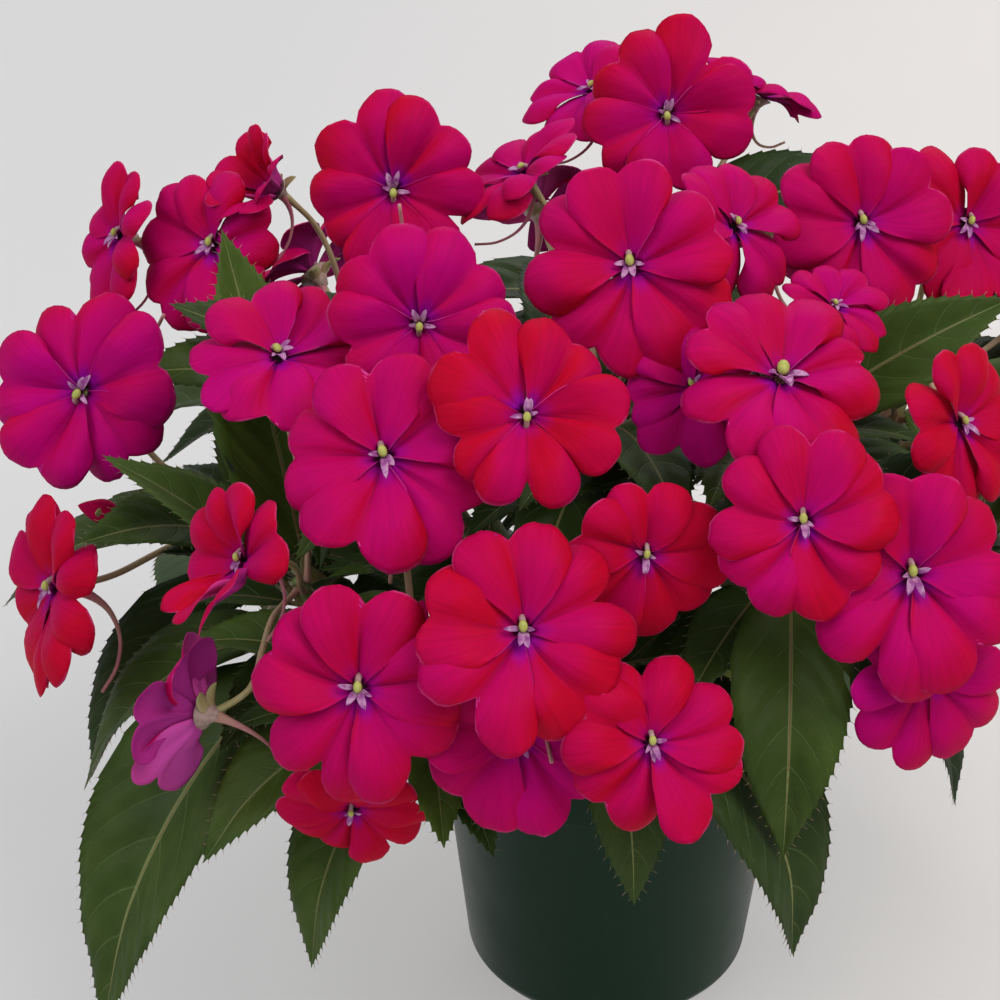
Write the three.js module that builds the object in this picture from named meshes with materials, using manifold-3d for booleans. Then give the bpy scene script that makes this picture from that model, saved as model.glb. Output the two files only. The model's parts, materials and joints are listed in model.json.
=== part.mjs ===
// A New Guinea impatiens in full bloom, growing in a round green nursery pot.
// Millimetres, +Z up. The origin is the centre of the pot's foot, on the table.
// Azimuths are in degrees: 0 faces the viewer at -Y, and +90 faces +X.

import * as THREE from "three";
import { mergeVertices } from "three/addons/utils/BufferGeometryUtils.js";
import Module from "manifold-3d";

const wasm = await Module();
wasm.setup();

// Driving dimensions
const GAP = 0.3; // between pieces that touch
const ROOM = 0.4; // at least this much is kept round a leaf or a flower as it grows
const POT = {
  height: 101.5,
  rimRadius: 57.15,
  rimDepth: 14.5,
  lip: 0.6,
  wallTopRadius: 53.8,
  wallFootRadius: 45,
  wall: 1.2,
  floor: 1.5,
  padRadius: 18,
  footHeight: 2.2,
  footRadius: 41,
  footWidth: 3,
  bevel: 5,
  holes: 6,
  holeRadius: 4,
  holeCircle: 29,
  facets: 40,
};
const SOIL = { edge: 86, shoulder: 90, crown: 91, planting: 68, facets: 24 };
const STEM = { trunkRadius: 4.4, shootRadius: 2.8, sides: 6, steps: 7, straightTip: 22, spread: 150 };
const FORK = { above: 14, outward: 1.5, sag: 6 };
const COLLAR = { below: 15.5, radius: 4.8, seat: 4.1, height: 11, sides: 8, stagger: 3.5 };
const PEDICEL = { radius: 1.1, sides: 5, steps: 4, swing: 0.36, heights: [1.5, 3.5, 5.5, 7.5] };
const COROLLA = { dish: 4, heart: 8, lobe: 0.48, notch: 0.4, tall: 0.04, lowLobe: 1.09 };
const LEAF = { petioleWidth: 3.2, thickness: 1.4, fold: 0.16, slimness: 0.36, droop: 1.4, lowest: 5 };
// A leaf's sections: how far along it, how broad and how deep, as shares of the whole.
const LEAF_SECTIONS = [
  [0, 0, 1.5], [0.13, 0.04, 1.5], [0.24, 0.6, 1], [0.44, 1, 1], [0.72, 0.7, 1], [1, 0.03, 0.4],
];

// Each stem: where it leaves the soil, and the shoots that it carries, with their tips.
const STEMS = [
  { name: "stem_front", root: [-3, -20], tips: { frontLeft: [-62, -82, 158], front: [-10, -86, 174] } },
  { name: "stem_right", root: [19, -10], tips: { frontRight: [47, -68, 198], right: [104, -18, 174] } },
  { name: "stem_left", root: [-20, -8], tips: { leftFront: [-92, -48, 168], left: [-110, 6, 158] } },
  {
    name: "stem_middle",
    root: [-2, 2],
    tips: { topLeft: [-56, -22, 212], top: [-6, -24, 218], topRight: [42, -34, 218] },
  },
  {
    name: "stem_back",
    root: [9, 20],
    tips: { topBack: [10, 42, 226], back: [12, 92, 172], rightBack: [92, 44, 182] },
  },
  { name: "stem_back_left", root: [-16, 14], tips: { leftBack: [-88, 42, 190], backLeft: [-66, 84, 160] } },
];

// Each flower: x, y, z of its eye, azimuth and elevation that it faces, roll, diameter, and its shoot.
const FLOWERS = [
  [-158, 6, 199, -14, 30, 155, 60, "left"],
  [-122, 40, 230, -30, 28, 10, 50, "leftBack"],
  [-146, 58, 224, -60, 20, 0, 46, "leftBack"],
  [-104, 52, 244, -60, 40, 0, 38, "leftBack"],
  [-65, 16, 258, 0, 24, 180, 53, "topLeft"],
  [-93, -49, 241, 10, 66, 25, 52, "leftFront"],
  [-56, -46, 247, 2, 24, 176, 50, "topLeft"],
  [-64, -92, 233, 0, 38, 16, 58, "frontLeft"],
  [-28, -92, 245, 8, 40, 176, 50, "top"],
  [-1, -46, 264, -8, 32, 14, 58, "top"],
  [-30, 24, 262, -88, 54, 0, 42, "top"],
  [15, 62, 263, 4, 30, 184, 53, "topBack"],
  [-8, 88, 262, -70, 56, 0, 44, "topBack"],
  [46, 86, 262, 125, 58, 0, 42, "topBack"],
  [30, -20, 264, 42, 40, -20, 44, "topRight"],
  [67, 2, 254, 10, 24, 8, 52, "right"],
  [101, 22, 245, 24, 28, -30, 50, "rightBack"],
  [37, -76, 249, 14, 66, -20, 54, "topRight"],
  [14, -66, 240, -20, 40, 40, 40, "topRight"],
  [55, -38, 249, 30, 60, 0, 32, "topRight"],
  [86, -72, 231, 40, 24, 0, 44, "right"],
  [40, -108, 223, -4, 28, 4, 50, "frontRight"],
  [68, -114, 211, 0, 30, 6, 58, "frontRight"],
  [75, -116, 180, 6, 12, 0, 46, "frontRight"],
  [2, -106, 211, 8, 10, -10, 44, "front"],
  [-29, -128, 204, 2, 34, 4, 56, "front"],
  [-30, -128, 171, 4, 16, 0, 51, "front"],
  [3, -138, 177, 8, 26, 0, 47, "front"],
  [-70, -124, 184, -4, 22, 0, 56, "frontLeft"],
  [-74, -114, 136, -6, -16, 0, 40, "frontLeft"],
  [-103, -94, 203, -52, 18, 30, 44, "leftFront"],
  [-117, -92, 155, -120, -8, 0, 47, "leftFront"],
  [-166, -34, 156, -62, 12, 0, 59, "left"],
  [142, -22, 190, 62, 30, 0, 54, "right"],
  [132, 66, 196, 118, 32, 0, 54, "rightBack"],
  [58, 122, 200, 158, 34, 0, 54, "back"],
  [-22, 130, 206, 186, 36, 0, 56, "back"],
  [-98, 100, 196, 226, 30, 0, 54, "backLeft"],
];

// Leaves of each shoot: azimuth, rise of the leaf's foot, length, the bend down to its tip, and roll.
// They sit in two tiers, turn about: an upper one first, then a lower one.
const LEAVES = {
  frontLeft: [
    [-60, 2, 92, 50, -14], [-47, -32, 78, 48], [40, 44, 56, 20],
    [6, 16, 50, 40], [-104, 30, 76, 44], [90, 30, 50, 20],
  ],
  front: [
    [52, -4, 102, 78, 10], [12, -10, 64, 66], [-70, 34, 58, 30],
    [84, 24, 62, 30], [150, 44, 50, 10], [-34, 4, 56, 40],
  ],
  frontRight: [
    [-4, -4, 98, 74], [64, -20, 84, 56], [100, 36, 76, 30, 34],
    [150, -10, 76, 50], [-60, 34, 58, 30], [-110, 10, 60, 30],
  ],
  right: [
    [66, 50, 78, 20, 30], [62, -6, 96, 70], [100, 20, 92, 50],
    [130, -14, 90, 60], [20, 22, 66, 40], [-60, -10, 70, 50],
  ],
  leftFront: [
    [-150, 66, 104, 6], [-46, -12, 132, 50], [20, 30, 60, 24],
    [-84, -6, 92, 56], [-130, 46, 70, 20], [60, 10, 60, 40],
  ],
  left: [
    [-60, 42, 74, 30, -20], [-56, -2, 100, 62], [-96, 16, 92, 62],
    [-140, -10, 90, 60], [176, 34, 70, 30], [90, -10, 60, 40],
  ],
  topLeft: [
    [-85, 40, 80, 14, -30], [-40, 16, 60, 40], [30, 40, 50, 30],
    [176, -6, 80, 50], [-140, 34, 72, 40], [110, 10, 56, 40],
  ],
  top: [
    [15, 24, 66, 40], [-60, 30, 60, 30, -40], [60, 34, 54, 40],
    [130, 4, 72, 40], [200, 36, 64, 36], [-20, 4, 66, 46],
  ],
  topRight: [
    [96, 38, 72, 12, 45], [30, 10, 66, 46], [-20, 30, 56, 40],
    [140, -4, 80, 46], [200, 40, 58, 30], [66, 10, 72, 50],
  ],
  topBack: [
    [100, 62, 92, 74, 20], [150, 0, 84, 56], [200, 24, 72, 48],
    [-100, 20, 80, 54], [30, 44, 50, 20], [-60, 20, 64, 40],
  ],
  leftBack: [
    [-70, 34, 78, 30, -20], [-110, -4, 96, 60], [-150, 20, 84, 52],
    [160, -6, 80, 60], [-20, 50, 58, 16], [60, 10, 60, 40],
  ],
  rightBack: [
    [44, 40, 76, 30, 20], [90, -4, 98, 62], [120, 20, 88, 56],
    [160, -10, 90, 62], [-10, 50, 58, 20], [-90, 0, 60, 40],
  ],
  back: [
    [180, 6, 92, 66], [140, -14, 92, 60], [220, 10, 86, 60],
    [100, -4, 80, 54], [20, 50, 50, 10], [-110, -4, 80, 54],
  ],
  backLeft: [
    [214, 6, 92, 64], [180, -14, 84, 56], [-90, 20, 86, 56],
    [150, 0, 76, 50], [60, 50, 50, 10], [250, -12, 92, 60],
  ],
};

// Materials
const plastic = new THREE.MeshStandardMaterial({ color: 0x1f3d2c, roughness: 0.45, metalness: 0 });
const peat = new THREE.MeshStandardMaterial({ color: 0x3a2a1e, roughness: 0.98, metalness: 0 });
const stalk = new THREE.MeshStandardMaterial({ color: 0x7c8a4c, roughness: 0.55, metalness: 0 });
const foliage = new THREE.MeshStandardMaterial({ color: 0x2c4a26, roughness: 0.5, metalness: 0 });
const petal = new THREE.MeshStandardMaterial({ color: 0xb3004f, roughness: 0.6, metalness: 0 });

const radians = THREE.MathUtils.degToRad;
const vector = (a) => new THREE.Vector3(...a);

// The way that an azimuth and an elevation point.
function heading(azimuth, elevation) {
  const a = radians(azimuth);
  const e = radians(elevation);
  return new THREE.Vector3(Math.sin(a) * Math.cos(e), -Math.cos(a) * Math.cos(e), Math.sin(e));
}

// A closed geometry as a solid that can be joined and cut.
function solidOf(geometry) {
  const bare = geometry.clone();
  bare.deleteAttribute("normal");
  bare.deleteAttribute("uv");
  const merged = mergeVertices(bare, 1e-4);
  return new wasm.Manifold(
    new wasm.Mesh({
      numProp: 3,
      vertProperties: new Float32Array(merged.attributes.position.array),
      triVerts: new Uint32Array(merged.index.array),
    }),
  );
}

// A solid as a named mesh of the plant.
function meshOf(name, solid, material) {
  const made = solid.getMesh();
  const positions = new Float32Array(made.numVert * 3);
  for (let i = 0; i < made.numVert; i++) {
    positions.set(made.vertProperties.subarray(i * made.numProp, i * made.numProp + 3), i * 3);
  }
  const geometry = new THREE.BufferGeometry();
  geometry.setAttribute("position", new THREE.BufferAttribute(positions, 3));
  geometry.setIndex(new THREE.BufferAttribute(new Uint32Array(made.triVerts), 1));
  geometry.computeVertexNormals();
  const mesh = new THREE.Mesh(geometry, material);
  mesh.name = name;
  return mesh;
}

// A round bar of the given radius along a curve.
function bar(curve, radius, sides, steps) {
  const outline = [];
  for (let i = 0; i < sides; i++) {
    const a = (2 * Math.PI * i) / sides;
    outline.push(new THREE.Vector2(radius * Math.cos(a), radius * Math.sin(a)));
  }
  const shape = new THREE.Shape(outline);
  return solidOf(new THREE.ExtrudeGeometry(shape, { steps, bevelEnabled: false, extrudePath: curve }));
}

// Rings of points, each ring the same number, skinned into a closed solid with fanned ends.
function skin(rings) {
  const points = rings.flat();
  const size = rings[0].length;
  const last = (rings.length - 1) * size;
  const faces = [];
  for (let r = 0; r < rings.length - 1; r++) {
    for (let i = 0; i < size; i++) {
      const a = r * size + i;
      const b = r * size + ((i + 1) % size);
      faces.push(a, b, a + size, b, b + size, a + size);
    }
  }
  for (let i = 1; i < size - 1; i++) {
    faces.push(0, i + 1, i, last, last + i, last + i + 1);
  }
  const geometry = new THREE.BufferGeometry().setFromPoints(points);
  geometry.setIndex(faces);
  const made = solidOf(geometry);
  if (made.volume() >= 0) return made;
  for (let i = 0; i < faces.length; i += 3) [faces[i], faces[i + 1]] = [faces[i + 1], faces[i]];
  geometry.setIndex(faces);
  return solidOf(geometry);
}

// A profile of [radius, height] points turned about Z.
function turned(profile, segments) {
  const points = profile.map(([r, z]) => new THREE.Vector2(r, z));
  const lathe = new THREE.LatheGeometry(points, segments);
  lathe.rotateX(Math.PI / 2);
  return solidOf(lathe);
}

// The pot: a thin tapered wall with a stepped rim, and a floor with drain holes. The floor is
// raised off the table between a centre pad and the foot ring.
function potSolid() {
  const under = POT.footHeight;
  const floorTop = under + POT.floor;
  const rimFoot = POT.height - POT.rimDepth;
  const lip = POT.lip;
  let pot = turned(
    [
      [0, 0],
      [POT.padRadius, 0],
      [POT.padRadius + lip, under],
      [POT.footRadius - POT.footWidth, under],
      [POT.footRadius - POT.footWidth + lip, 0],
      [POT.footRadius, 0],
      [POT.wallFootRadius, POT.bevel],
      [POT.wallTopRadius, rimFoot],
      [POT.rimRadius, rimFoot + lip],
      [POT.rimRadius, POT.height - lip],
      [POT.rimRadius - lip, POT.height],
      [POT.rimRadius - POT.wall - lip, POT.height],
      [POT.rimRadius - 2 * POT.wall, rimFoot + POT.wall],
      [POT.wallTopRadius - POT.wall, rimFoot - POT.wall],
      [POT.wallFootRadius - POT.wall, POT.bevel + lip],
      [POT.footRadius - POT.wall, floorTop],
      [0, floorTop],
    ],
    POT.facets,
  );
  for (let i = 0; i < POT.holes; i++) {
    const a = (2 * Math.PI * i) / POT.holes;
    const drill = new THREE.CylinderGeometry(POT.holeRadius, POT.holeRadius, 4 * floorTop, 12);
    drill.rotateX(Math.PI / 2);
    drill.translate(POT.holeCircle * Math.cos(a), POT.holeCircle * Math.sin(a), 0);
    pot = pot.subtract(solidOf(drill));
  }
  return pot;
}

// The potting mix: it fills the pot to just under the rim band, and is heaped at the stems.
function soilSolid() {
  const floorTop = POT.footHeight + POT.floor + GAP;
  const insideAt = (z) => {
    const share = (z - POT.bevel) / (POT.height - POT.rimDepth - POT.bevel);
    return THREE.MathUtils.lerp(POT.wallFootRadius, POT.wallTopRadius, share) - POT.wall - 2 * GAP;
  };
  return turned(
    [
      [0, floorTop],
      [POT.footRadius - POT.wall - 3 * GAP, floorTop],
      [insideAt(POT.bevel + 2), POT.bevel + 2],
      [insideAt(SOIL.edge - 2), SOIL.edge - 2],
      [0.9 * POT.wallTopRadius, SOIL.edge],
      [0.45 * POT.wallTopRadius, SOIL.shoulder],
      [0, SOIL.crown],
    ],
    SOIL.facets,
  );
}

// The way that a shoot's straight tip points: outwards, and more upwards.
function shootAxis(tip) {
  return new THREE.Vector3(tip.x, tip.y, STEM.spread).normalize();
}

// A stem: a thick trunk from the soil to its fork, and a slimmer shoot to each tip.
// The sleeve is the same stem with the gap round it, which cuts its place in other pieces.
function stemParts({ root: [x, y], tips }) {
  const root = new THREE.Vector3(x, y, SOIL.planting);
  const fork = new THREE.Vector3(FORK.outward * x, FORK.outward * y, SOIL.crown + FORK.above);
  const trunk = new THREE.LineCurve3(root, fork);
  const shoots = Object.entries(tips).map(([name, place]) => {
    const tip = vector(place);
    const axis = shootAxis(tip);
    const neck = tip.clone().addScaledVector(axis, -STEM.straightTip);
    const elbow = fork.clone().lerp(neck, 0.5).add(new THREE.Vector3(0, 0, -FORK.sag));
    const start = root.clone().lerp(fork, 0.8);
    const curve = new THREE.CatmullRomCurve3([start, fork, elbow, neck, tip], false, "centripetal");
    return { name, tip, axis, curve };
  });
  const grown = (extra) =>
    shoots.reduce(
      (whole, { curve }) => whole.add(bar(curve, STEM.shootRadius + extra, STEM.sides, STEM.steps)),
      bar(trunk, STEM.trunkRadius + extra, STEM.sides, 1),
    );
  return { shoots, solid: grown(0), sleeve: grown(GAP) };
}

// A flower's own frame: z is the way it faces, and y runs up its top petal.
function flowerFrame(eye, facing, roll) {
  const up = new THREE.Vector3(0, 0, 1).addScaledVector(facing, -facing.z).normalize();
  up.applyAxisAngle(facing, radians(roll));
  const right = new THREE.Vector3().crossVectors(up, facing);
  return new THREE.Matrix4().makeBasis(right, up, facing).setPosition(eye);
}

// The corolla: a shallow dished disc of five petals, the first of them at the top. Each petal has
// a notch at its middle with a lobe on either side, and the two lobes at the bottom are the
// longest. Extra is added all round.
function corollaSolid(diameter, extra) {
  const rim = [];
  for (let p = 0; p < 5; p++) {
    for (const turn of [0, 18, 54]) {
      const angle = radians(90 + 72 * p + turn);
      const isNotch = turn === 0;
      const isLow = Math.sin(angle) < -0.9;
      const reach = (isNotch ? COROLLA.notch : COROLLA.lobe) * (isLow ? COROLLA.lowLobe : 1);
      const r = diameter * reach * (1 - COROLLA.tall * Math.sin(angle)) + extra;
      rim.push([r * Math.cos(angle), r * Math.sin(angle)]);
    }
  }
  const points = [
    new THREE.Vector3(0, 0, -COROLLA.dish + extra),
    new THREE.Vector3(0, 0, -COROLLA.heart - extra),
    ...rim.map(([x, y]) => new THREE.Vector3(x, y, 0)),
  ];
  const faces = [];
  for (let i = 0; i < rim.length; i++) {
    const a = 2 + i;
    const b = 2 + ((i + 1) % rim.length);
    faces.push(0, a, b, 1, b, a);
  }
  const geometry = new THREE.BufferGeometry().setFromPoints(points);
  geometry.setIndex(faces);
  return solidOf(geometry);
}

// The flower's stalk: from the back of the corolla, in one curve, to the side of its shoot.
function pedicelCurve(eye, facing, shoot, height) {
  const start = eye.clone().addScaledVector(facing, 1 - COROLLA.heart);
  const joint = shoot.tip.clone().addScaledVector(shoot.axis, -height);
  const away = start.clone().sub(joint);
  const side = away.clone().addScaledVector(shoot.axis, -away.dot(shoot.axis)).normalize();
  const foot = joint.clone().addScaledVector(side, STEM.shootRadius + GAP + 0.7 * PEDICEL.radius);
  const leave = side.clone().add(shoot.axis).normalize();
  const reach = start.distanceTo(foot) * PEDICEL.swing;
  return new THREE.CubicBezierCurve3(
    start,
    start.clone().addScaledVector(facing, -reach),
    foot.clone().addScaledVector(leave, reach),
    foot,
  );
}

// A leaf: a slim stalk that opens into a pointed blade, folded up a little along its midrib.
// Each of its sections is a diamond of left edge, top, right edge and underside. With extra all
// round, it starts at its second section, clear of its own shoot.
function leafSolid(shoot, tier, [azimuth, rise, length, bend, roll], extra) {
  const width = length * LEAF.slimness;
  const rings = [];
  const height = tier * COLLAR.stagger - COLLAR.below;
  const spot = shoot.tip.clone().addScaledVector(shoot.axis, height);
  const outward = heading(azimuth, 0);
  outward.addScaledVector(shoot.axis, -outward.dot(shoot.axis)).normalize();
  spot.addScaledVector(outward, COLLAR.seat);
  let before = 0;
  LEAF_SECTIONS.forEach(([share, breadth, depth]) => {
    const along = heading(azimuth, rise - bend * share ** LEAF.droop);
    spot.addScaledVector(along, length * (share - before));
    before = share;
    if (extra && !share) return;
    const across = heading(azimuth + 90, 0).applyAxisAngle(along, radians(roll));
    const out = new THREE.Vector3().crossVectors(along, across).normalize();
    const half = (LEAF.petioleWidth + breadth * width) / 2 + extra;
    const thick = (depth * LEAF.thickness) / 2 + extra;
    const lift = LEAF.fold * breadth * width;
    const edge = (side) => spot.clone().addScaledVector(across, side * half).addScaledVector(out, lift);
    rings.push([
      edge(-1),
      spot.clone().addScaledVector(out, thick),
      edge(1),
      spot.clone().addScaledVector(out, -thick),
    ]);
  });
  return skin(rings);
}

// True if two boxes in space meet.
function boxesMeet(a, b) {
  return [0, 1, 2].every((k) => a.min[k] <= b.max[k] && b.min[k] <= a.max[k]);
}

// What is already in its place, so that each later piece can grow clear of it.
const grownSolids = [];
function place(solid) {
  grownSolids.push({ solid, box: solid.boundingBox() });
}
function isClear(solid, seat) {
  const box = solid.boundingBox();
  if (box.min[2] < LEAF.lowest) return false;
  return !grownSolids.some(
    (other) => other.solid !== seat && boxesMeet(box, other.box) && !solid.intersect(other.solid).isEmpty(),
  );
}

// A flower in its place, or nothing where it finds no room. It sits where it is planned, or a
// little along the way it faces, and its stalk joins the shoot at the first height that is free.
function growFlower([x, y, z, azimuth, elevation, roll, diameter, shootName]) {
  const shoot = shoots[shootName];
  const facing = heading(azimuth, elevation);
  for (const nudge of NUDGES) {
    const eye = new THREE.Vector3(x, y, z).addScaledVector(facing, nudge);
    const frame = flowerFrame(eye, facing, roll).elements;
    if (!isClear(corollaSolid(diameter, ROOM).transform(frame))) continue;
    for (const height of PEDICEL.heights) {
      const curve = pedicelCurve(eye, facing, shoot, height);
      const pedicel = (extra) => bar(curve, PEDICEL.radius + extra, PEDICEL.sides, PEDICEL.steps);
      if (isClear(pedicel(GAP))) return corollaSolid(diameter, 0).transform(frame).add(pedicel(0));
    }
  }
  return null;
}

// A leaf in its place, or nothing. It may turn, lift or stay smaller, the smallest change first.
function growLeaf(shoot, tier, [azimuth, rise, length, bend, roll = 0]) {
  for (const { lift, turn, shrink } of ATTITUDES) {
    const form = [azimuth + turn, rise + lift, length * shrink, bend, roll];
    const leaf = leafSolid(shoot, tier, form, 0);
    const isFree = isClear(leaf, shoot.collar) && isClear(leafSolid(shoot, tier, form, ROOM), shoot.collar);
    if (isFree) return leaf;
  }
  return null;
}

const NUDGES = [0, 2, -2, 4, -4, 6, -6, 8, -8, 11, -11, 14];
const ATTITUDES = [];
for (const lift of [0, -8, 8, -16, 16, -28, 28, 40]) {
  for (const turn of [0, 8, -8, 16, -16, 26, -26, 38, -38]) {
    for (const shrink of [1, 0.88, 0.76, 0.64]) {
      ATTITUDES.push({ lift, turn, shrink, cost: Math.abs(lift) + Math.abs(turn) + 60 * (1 - shrink) });
    }
  }
}
ATTITUDES.sort((a, b) => a.cost - b.cost);

const plant = new THREE.Group();
const shoots = {};

const pot = potSolid();
place(pot);
plant.add(meshOf("pot", pot, plastic));

let soil = soilSolid();
for (const stem of STEMS) {
  const parts = stemParts(stem);
  for (const shoot of parts.shoots) shoots[shoot.name] = { ...shoot, sleeve: parts.sleeve };
  soil = soil.subtract(parts.sleeve);
  place(parts.solid);
  plant.add(meshOf(stem.name, parts.solid, stalk));
}
place(soil);
plant.add(meshOf("soil", soil, peat));

FLOWERS.forEach((row, i) => {
  const flower = growFlower(row);
  if (!flower) return;
  place(flower);
  plant.add(meshOf(`flower_${String(i + 1).padStart(2, "0")}`, flower, petal));
});

// Every shoot has a collar that its leaves grow from.
for (const shoot of Object.values(shoots)) {
  const ring = new THREE.CylinderGeometry(COLLAR.radius, COLLAR.radius, COLLAR.height, COLLAR.sides);
  const seat = shoot.tip.clone().addScaledVector(shoot.axis, -COLLAR.below);
  ring.applyQuaternion(new THREE.Quaternion().setFromUnitVectors(new THREE.Vector3(0, 1, 0), shoot.axis));
  ring.translate(...seat.toArray());
  shoot.collar = solidOf(ring).subtract(shoot.sleeve);
  place(shoot.collar);
}

for (const [name, rows] of Object.entries(LEAVES)) {
  const shoot = shoots[name];
  let whorl = shoot.collar;
  rows.forEach((row, i) => {
    const leaf = growLeaf(shoot, i % 2 ? -1 : 1, row);
    if (!leaf) return;
    place(leaf);
    whorl = whorl.add(leaf);
  });
  const words = name.replace(/[A-Z]/g, (capital) => `_${capital.toLowerCase()}`);
  plant.add(meshOf(`leaves_${words}`, whorl, foliage));
}

export default plant;
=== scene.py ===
"""A New Guinea impatiens in bloom, in its nursery pot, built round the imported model."""
import json
from math import radians

import bmesh
import bpy
import numpy as np
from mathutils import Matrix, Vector
from mathutils.bvhtree import BVHTree

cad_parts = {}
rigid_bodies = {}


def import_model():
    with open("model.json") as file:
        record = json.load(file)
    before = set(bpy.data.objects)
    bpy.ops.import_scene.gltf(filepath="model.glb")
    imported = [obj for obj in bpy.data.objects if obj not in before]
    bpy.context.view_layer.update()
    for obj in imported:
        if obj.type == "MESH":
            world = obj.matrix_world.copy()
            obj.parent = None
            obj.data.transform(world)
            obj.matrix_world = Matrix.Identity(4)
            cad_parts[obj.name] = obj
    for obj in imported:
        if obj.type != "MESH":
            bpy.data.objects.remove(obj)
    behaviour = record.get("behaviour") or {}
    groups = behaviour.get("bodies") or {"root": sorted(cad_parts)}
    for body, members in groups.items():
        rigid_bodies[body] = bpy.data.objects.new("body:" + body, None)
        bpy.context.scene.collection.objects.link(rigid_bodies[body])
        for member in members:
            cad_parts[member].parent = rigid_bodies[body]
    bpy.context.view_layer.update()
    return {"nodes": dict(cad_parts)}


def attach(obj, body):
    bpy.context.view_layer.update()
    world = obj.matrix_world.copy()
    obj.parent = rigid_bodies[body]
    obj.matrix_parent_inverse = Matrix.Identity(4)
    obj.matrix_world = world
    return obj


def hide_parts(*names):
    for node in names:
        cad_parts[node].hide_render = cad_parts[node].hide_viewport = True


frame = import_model()

# Pot
# A round tapered nursery pot of thin dark green polypropylene, injection moulded in one piece,
# with a stepped rim band, a bevelled foot and six drain holes in its floor.
MM = 0.001  # shapes are worked out in millimetres, and meshes are in metres
POT_OUTLINE = [
    # radius, height and fillet radius of each corner, from under the floor round to its top
    (0, 0, 0), (18, 0, 0.3), (18.6, 2.2, 0.3), (38, 2.2, 0.3), (38.6, 0, 0.3), (41, 0, 1.0),
    (45, 5, 1.6), (53.8, 87, 0.4), (57.15, 87.6, 0.5), (57.15, 101, 0.4), (56.6, 101.5, 0.4),
    (55.4, 101.5, 0.4), (54.75, 88.2, 0.8), (52.6, 85.8, 0.8), (43.8, 5.6, 0.8), (39.8, 3.7, 0.6),
    (0, 3.7, 0),
]
POT_TURNS = 144
HOLE = {"count": 6, "circle": 29, "radius": 4, "depth": 12}
MOULDED = (0.0010, 0.0215, 0.0082, 1)
MOULDED_WORN = (0.0035, 0.0360, 0.0150, 1)


def grid_faces(rows, columns, wrapped=False):
    """Four-sided faces between neighbouring rows of a grid of points. Wrapped also joins the end
    of each row to its start."""
    row = np.arange(rows - 1)[:, None] * columns
    here = np.arange(columns if wrapped else columns - 1)[None, :]
    there = (here + 1) % columns
    corners = [row + here, row + there, row + columns + there, row + columns + here]
    return np.stack(corners, -1).reshape(-1, 4)


def surface(points, wrapped=False, **values):
    """A grid of points (rows, columns, 3) as one part of a mesh: its points, its faces, and the
    named values of its points, each spread over the same grid."""
    rows, columns = points.shape[:2]
    spread = {k: np.broadcast_to(v, (rows, columns)).ravel() for k, v in values.items()}
    return points.reshape(-1, 3), grid_faces(rows, columns, wrapped), spread


def shell(front, back, **values):
    """A closed thin shell: each row runs across the front and returns across the back, and the
    first and last rows are closed by faces from front to back."""
    rows, columns = front.shape[:2]
    loops = np.concatenate([front, back[:, ::-1]], axis=1)
    points, faces, _ = surface(loops, wrapped=True)
    near = np.arange(columns - 1)
    far = 2 * columns - 1 - near
    cap = np.stack([near, far, far - 1, near + 1], -1)
    end = cap[:, ::-1] + (rows - 1) * 2 * columns
    spread = {}
    for name, value in values.items():
        value = np.broadcast_to(value, (rows, columns))
        spread[name] = np.concatenate([value, value[:, ::-1]], axis=1).ravel()
    is_back = np.concatenate([np.zeros((rows, columns)), np.ones((rows, columns))], axis=1)
    spread["back"] = is_back.ravel()
    return points, np.concatenate([faces, cap, end]), spread


def make_piece(name, parts, material, nodes=()):
    """One object from mesh parts in millimetres. Points that coincide are merged, which closes
    seams and poles. Every named value of a part becomes a number that the material can read."""
    start = np.cumsum([0] + [len(points) for points, _, _ in parts])
    points = np.concatenate([points for points, _, _ in parts]) * MM
    faces = np.concatenate([faces + s for (_, faces, _), s in zip(parts, start)])
    mesh = bpy.data.meshes.new(name)
    mesh.from_pydata(points.tolist(), [], faces.tolist())
    for value in parts[0][2]:
        layer = mesh.attributes.new(value, "FLOAT", "POINT")
        numbers = np.concatenate([values[value] for _, _, values in parts])
        layer.data.foreach_set("value", numbers.astype(np.float32))
    work = bmesh.new()
    work.from_mesh(mesh)
    bmesh.ops.remove_doubles(work, verts=work.verts, dist=2e-6)
    bmesh.ops.recalc_face_normals(work, faces=work.faces)
    work.to_mesh(mesh)
    work.free()
    mesh.polygons.foreach_set("use_smooth", np.ones(len(mesh.polygons), bool))
    mesh.materials.append(material)
    thing = bpy.data.objects.new(name, mesh)
    bpy.context.scene.collection.objects.link(thing)
    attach(thing, "root")
    if nodes:
        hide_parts(*nodes)
    return thing


def unit(vectors):
    """Vectors made one long, along the last axis."""
    vectors = np.asarray(vectors, float)
    return vectors / np.linalg.norm(vectors, axis=-1, keepdims=True)


def rounded(outline, steps=4):
    """An outline with each corner replaced by a curve: a parabola between the points that lie
    the fillet's radius before and after the corner."""
    corners = np.array([corner[:2] for corner in outline], float)
    made = [corners[:1]]
    for i in range(1, len(corners) - 1):
        before = corners[i] + unit(corners[i - 1] - corners[i]) * outline[i][2]
        after = corners[i] + unit(corners[i + 1] - corners[i]) * outline[i][2]
        t = np.linspace(0, 1, steps + 1)[:, None]
        made.append(before * (1 - t) ** 2 + corners[i] * 2 * t * (1 - t) + after * t**2)
    return np.concatenate(made + [corners[-1:]])


def turned(profile, turns):
    """A profile of (radius, height) carried round the upright axis."""
    angle = np.linspace(0, 2 * np.pi, turns, endpoint=False)
    radius, height = profile[:, :1], profile[:, 1:]
    return np.stack([radius * np.cos(angle), radius * np.sin(angle), height + 0 * angle], -1)


def new_material(name):
    """A material with its shader, and short ways to add nodes and links to it."""
    material = bpy.data.materials.new(name)
    material.use_nodes = True
    return material, Nodes(material.node_tree)


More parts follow.
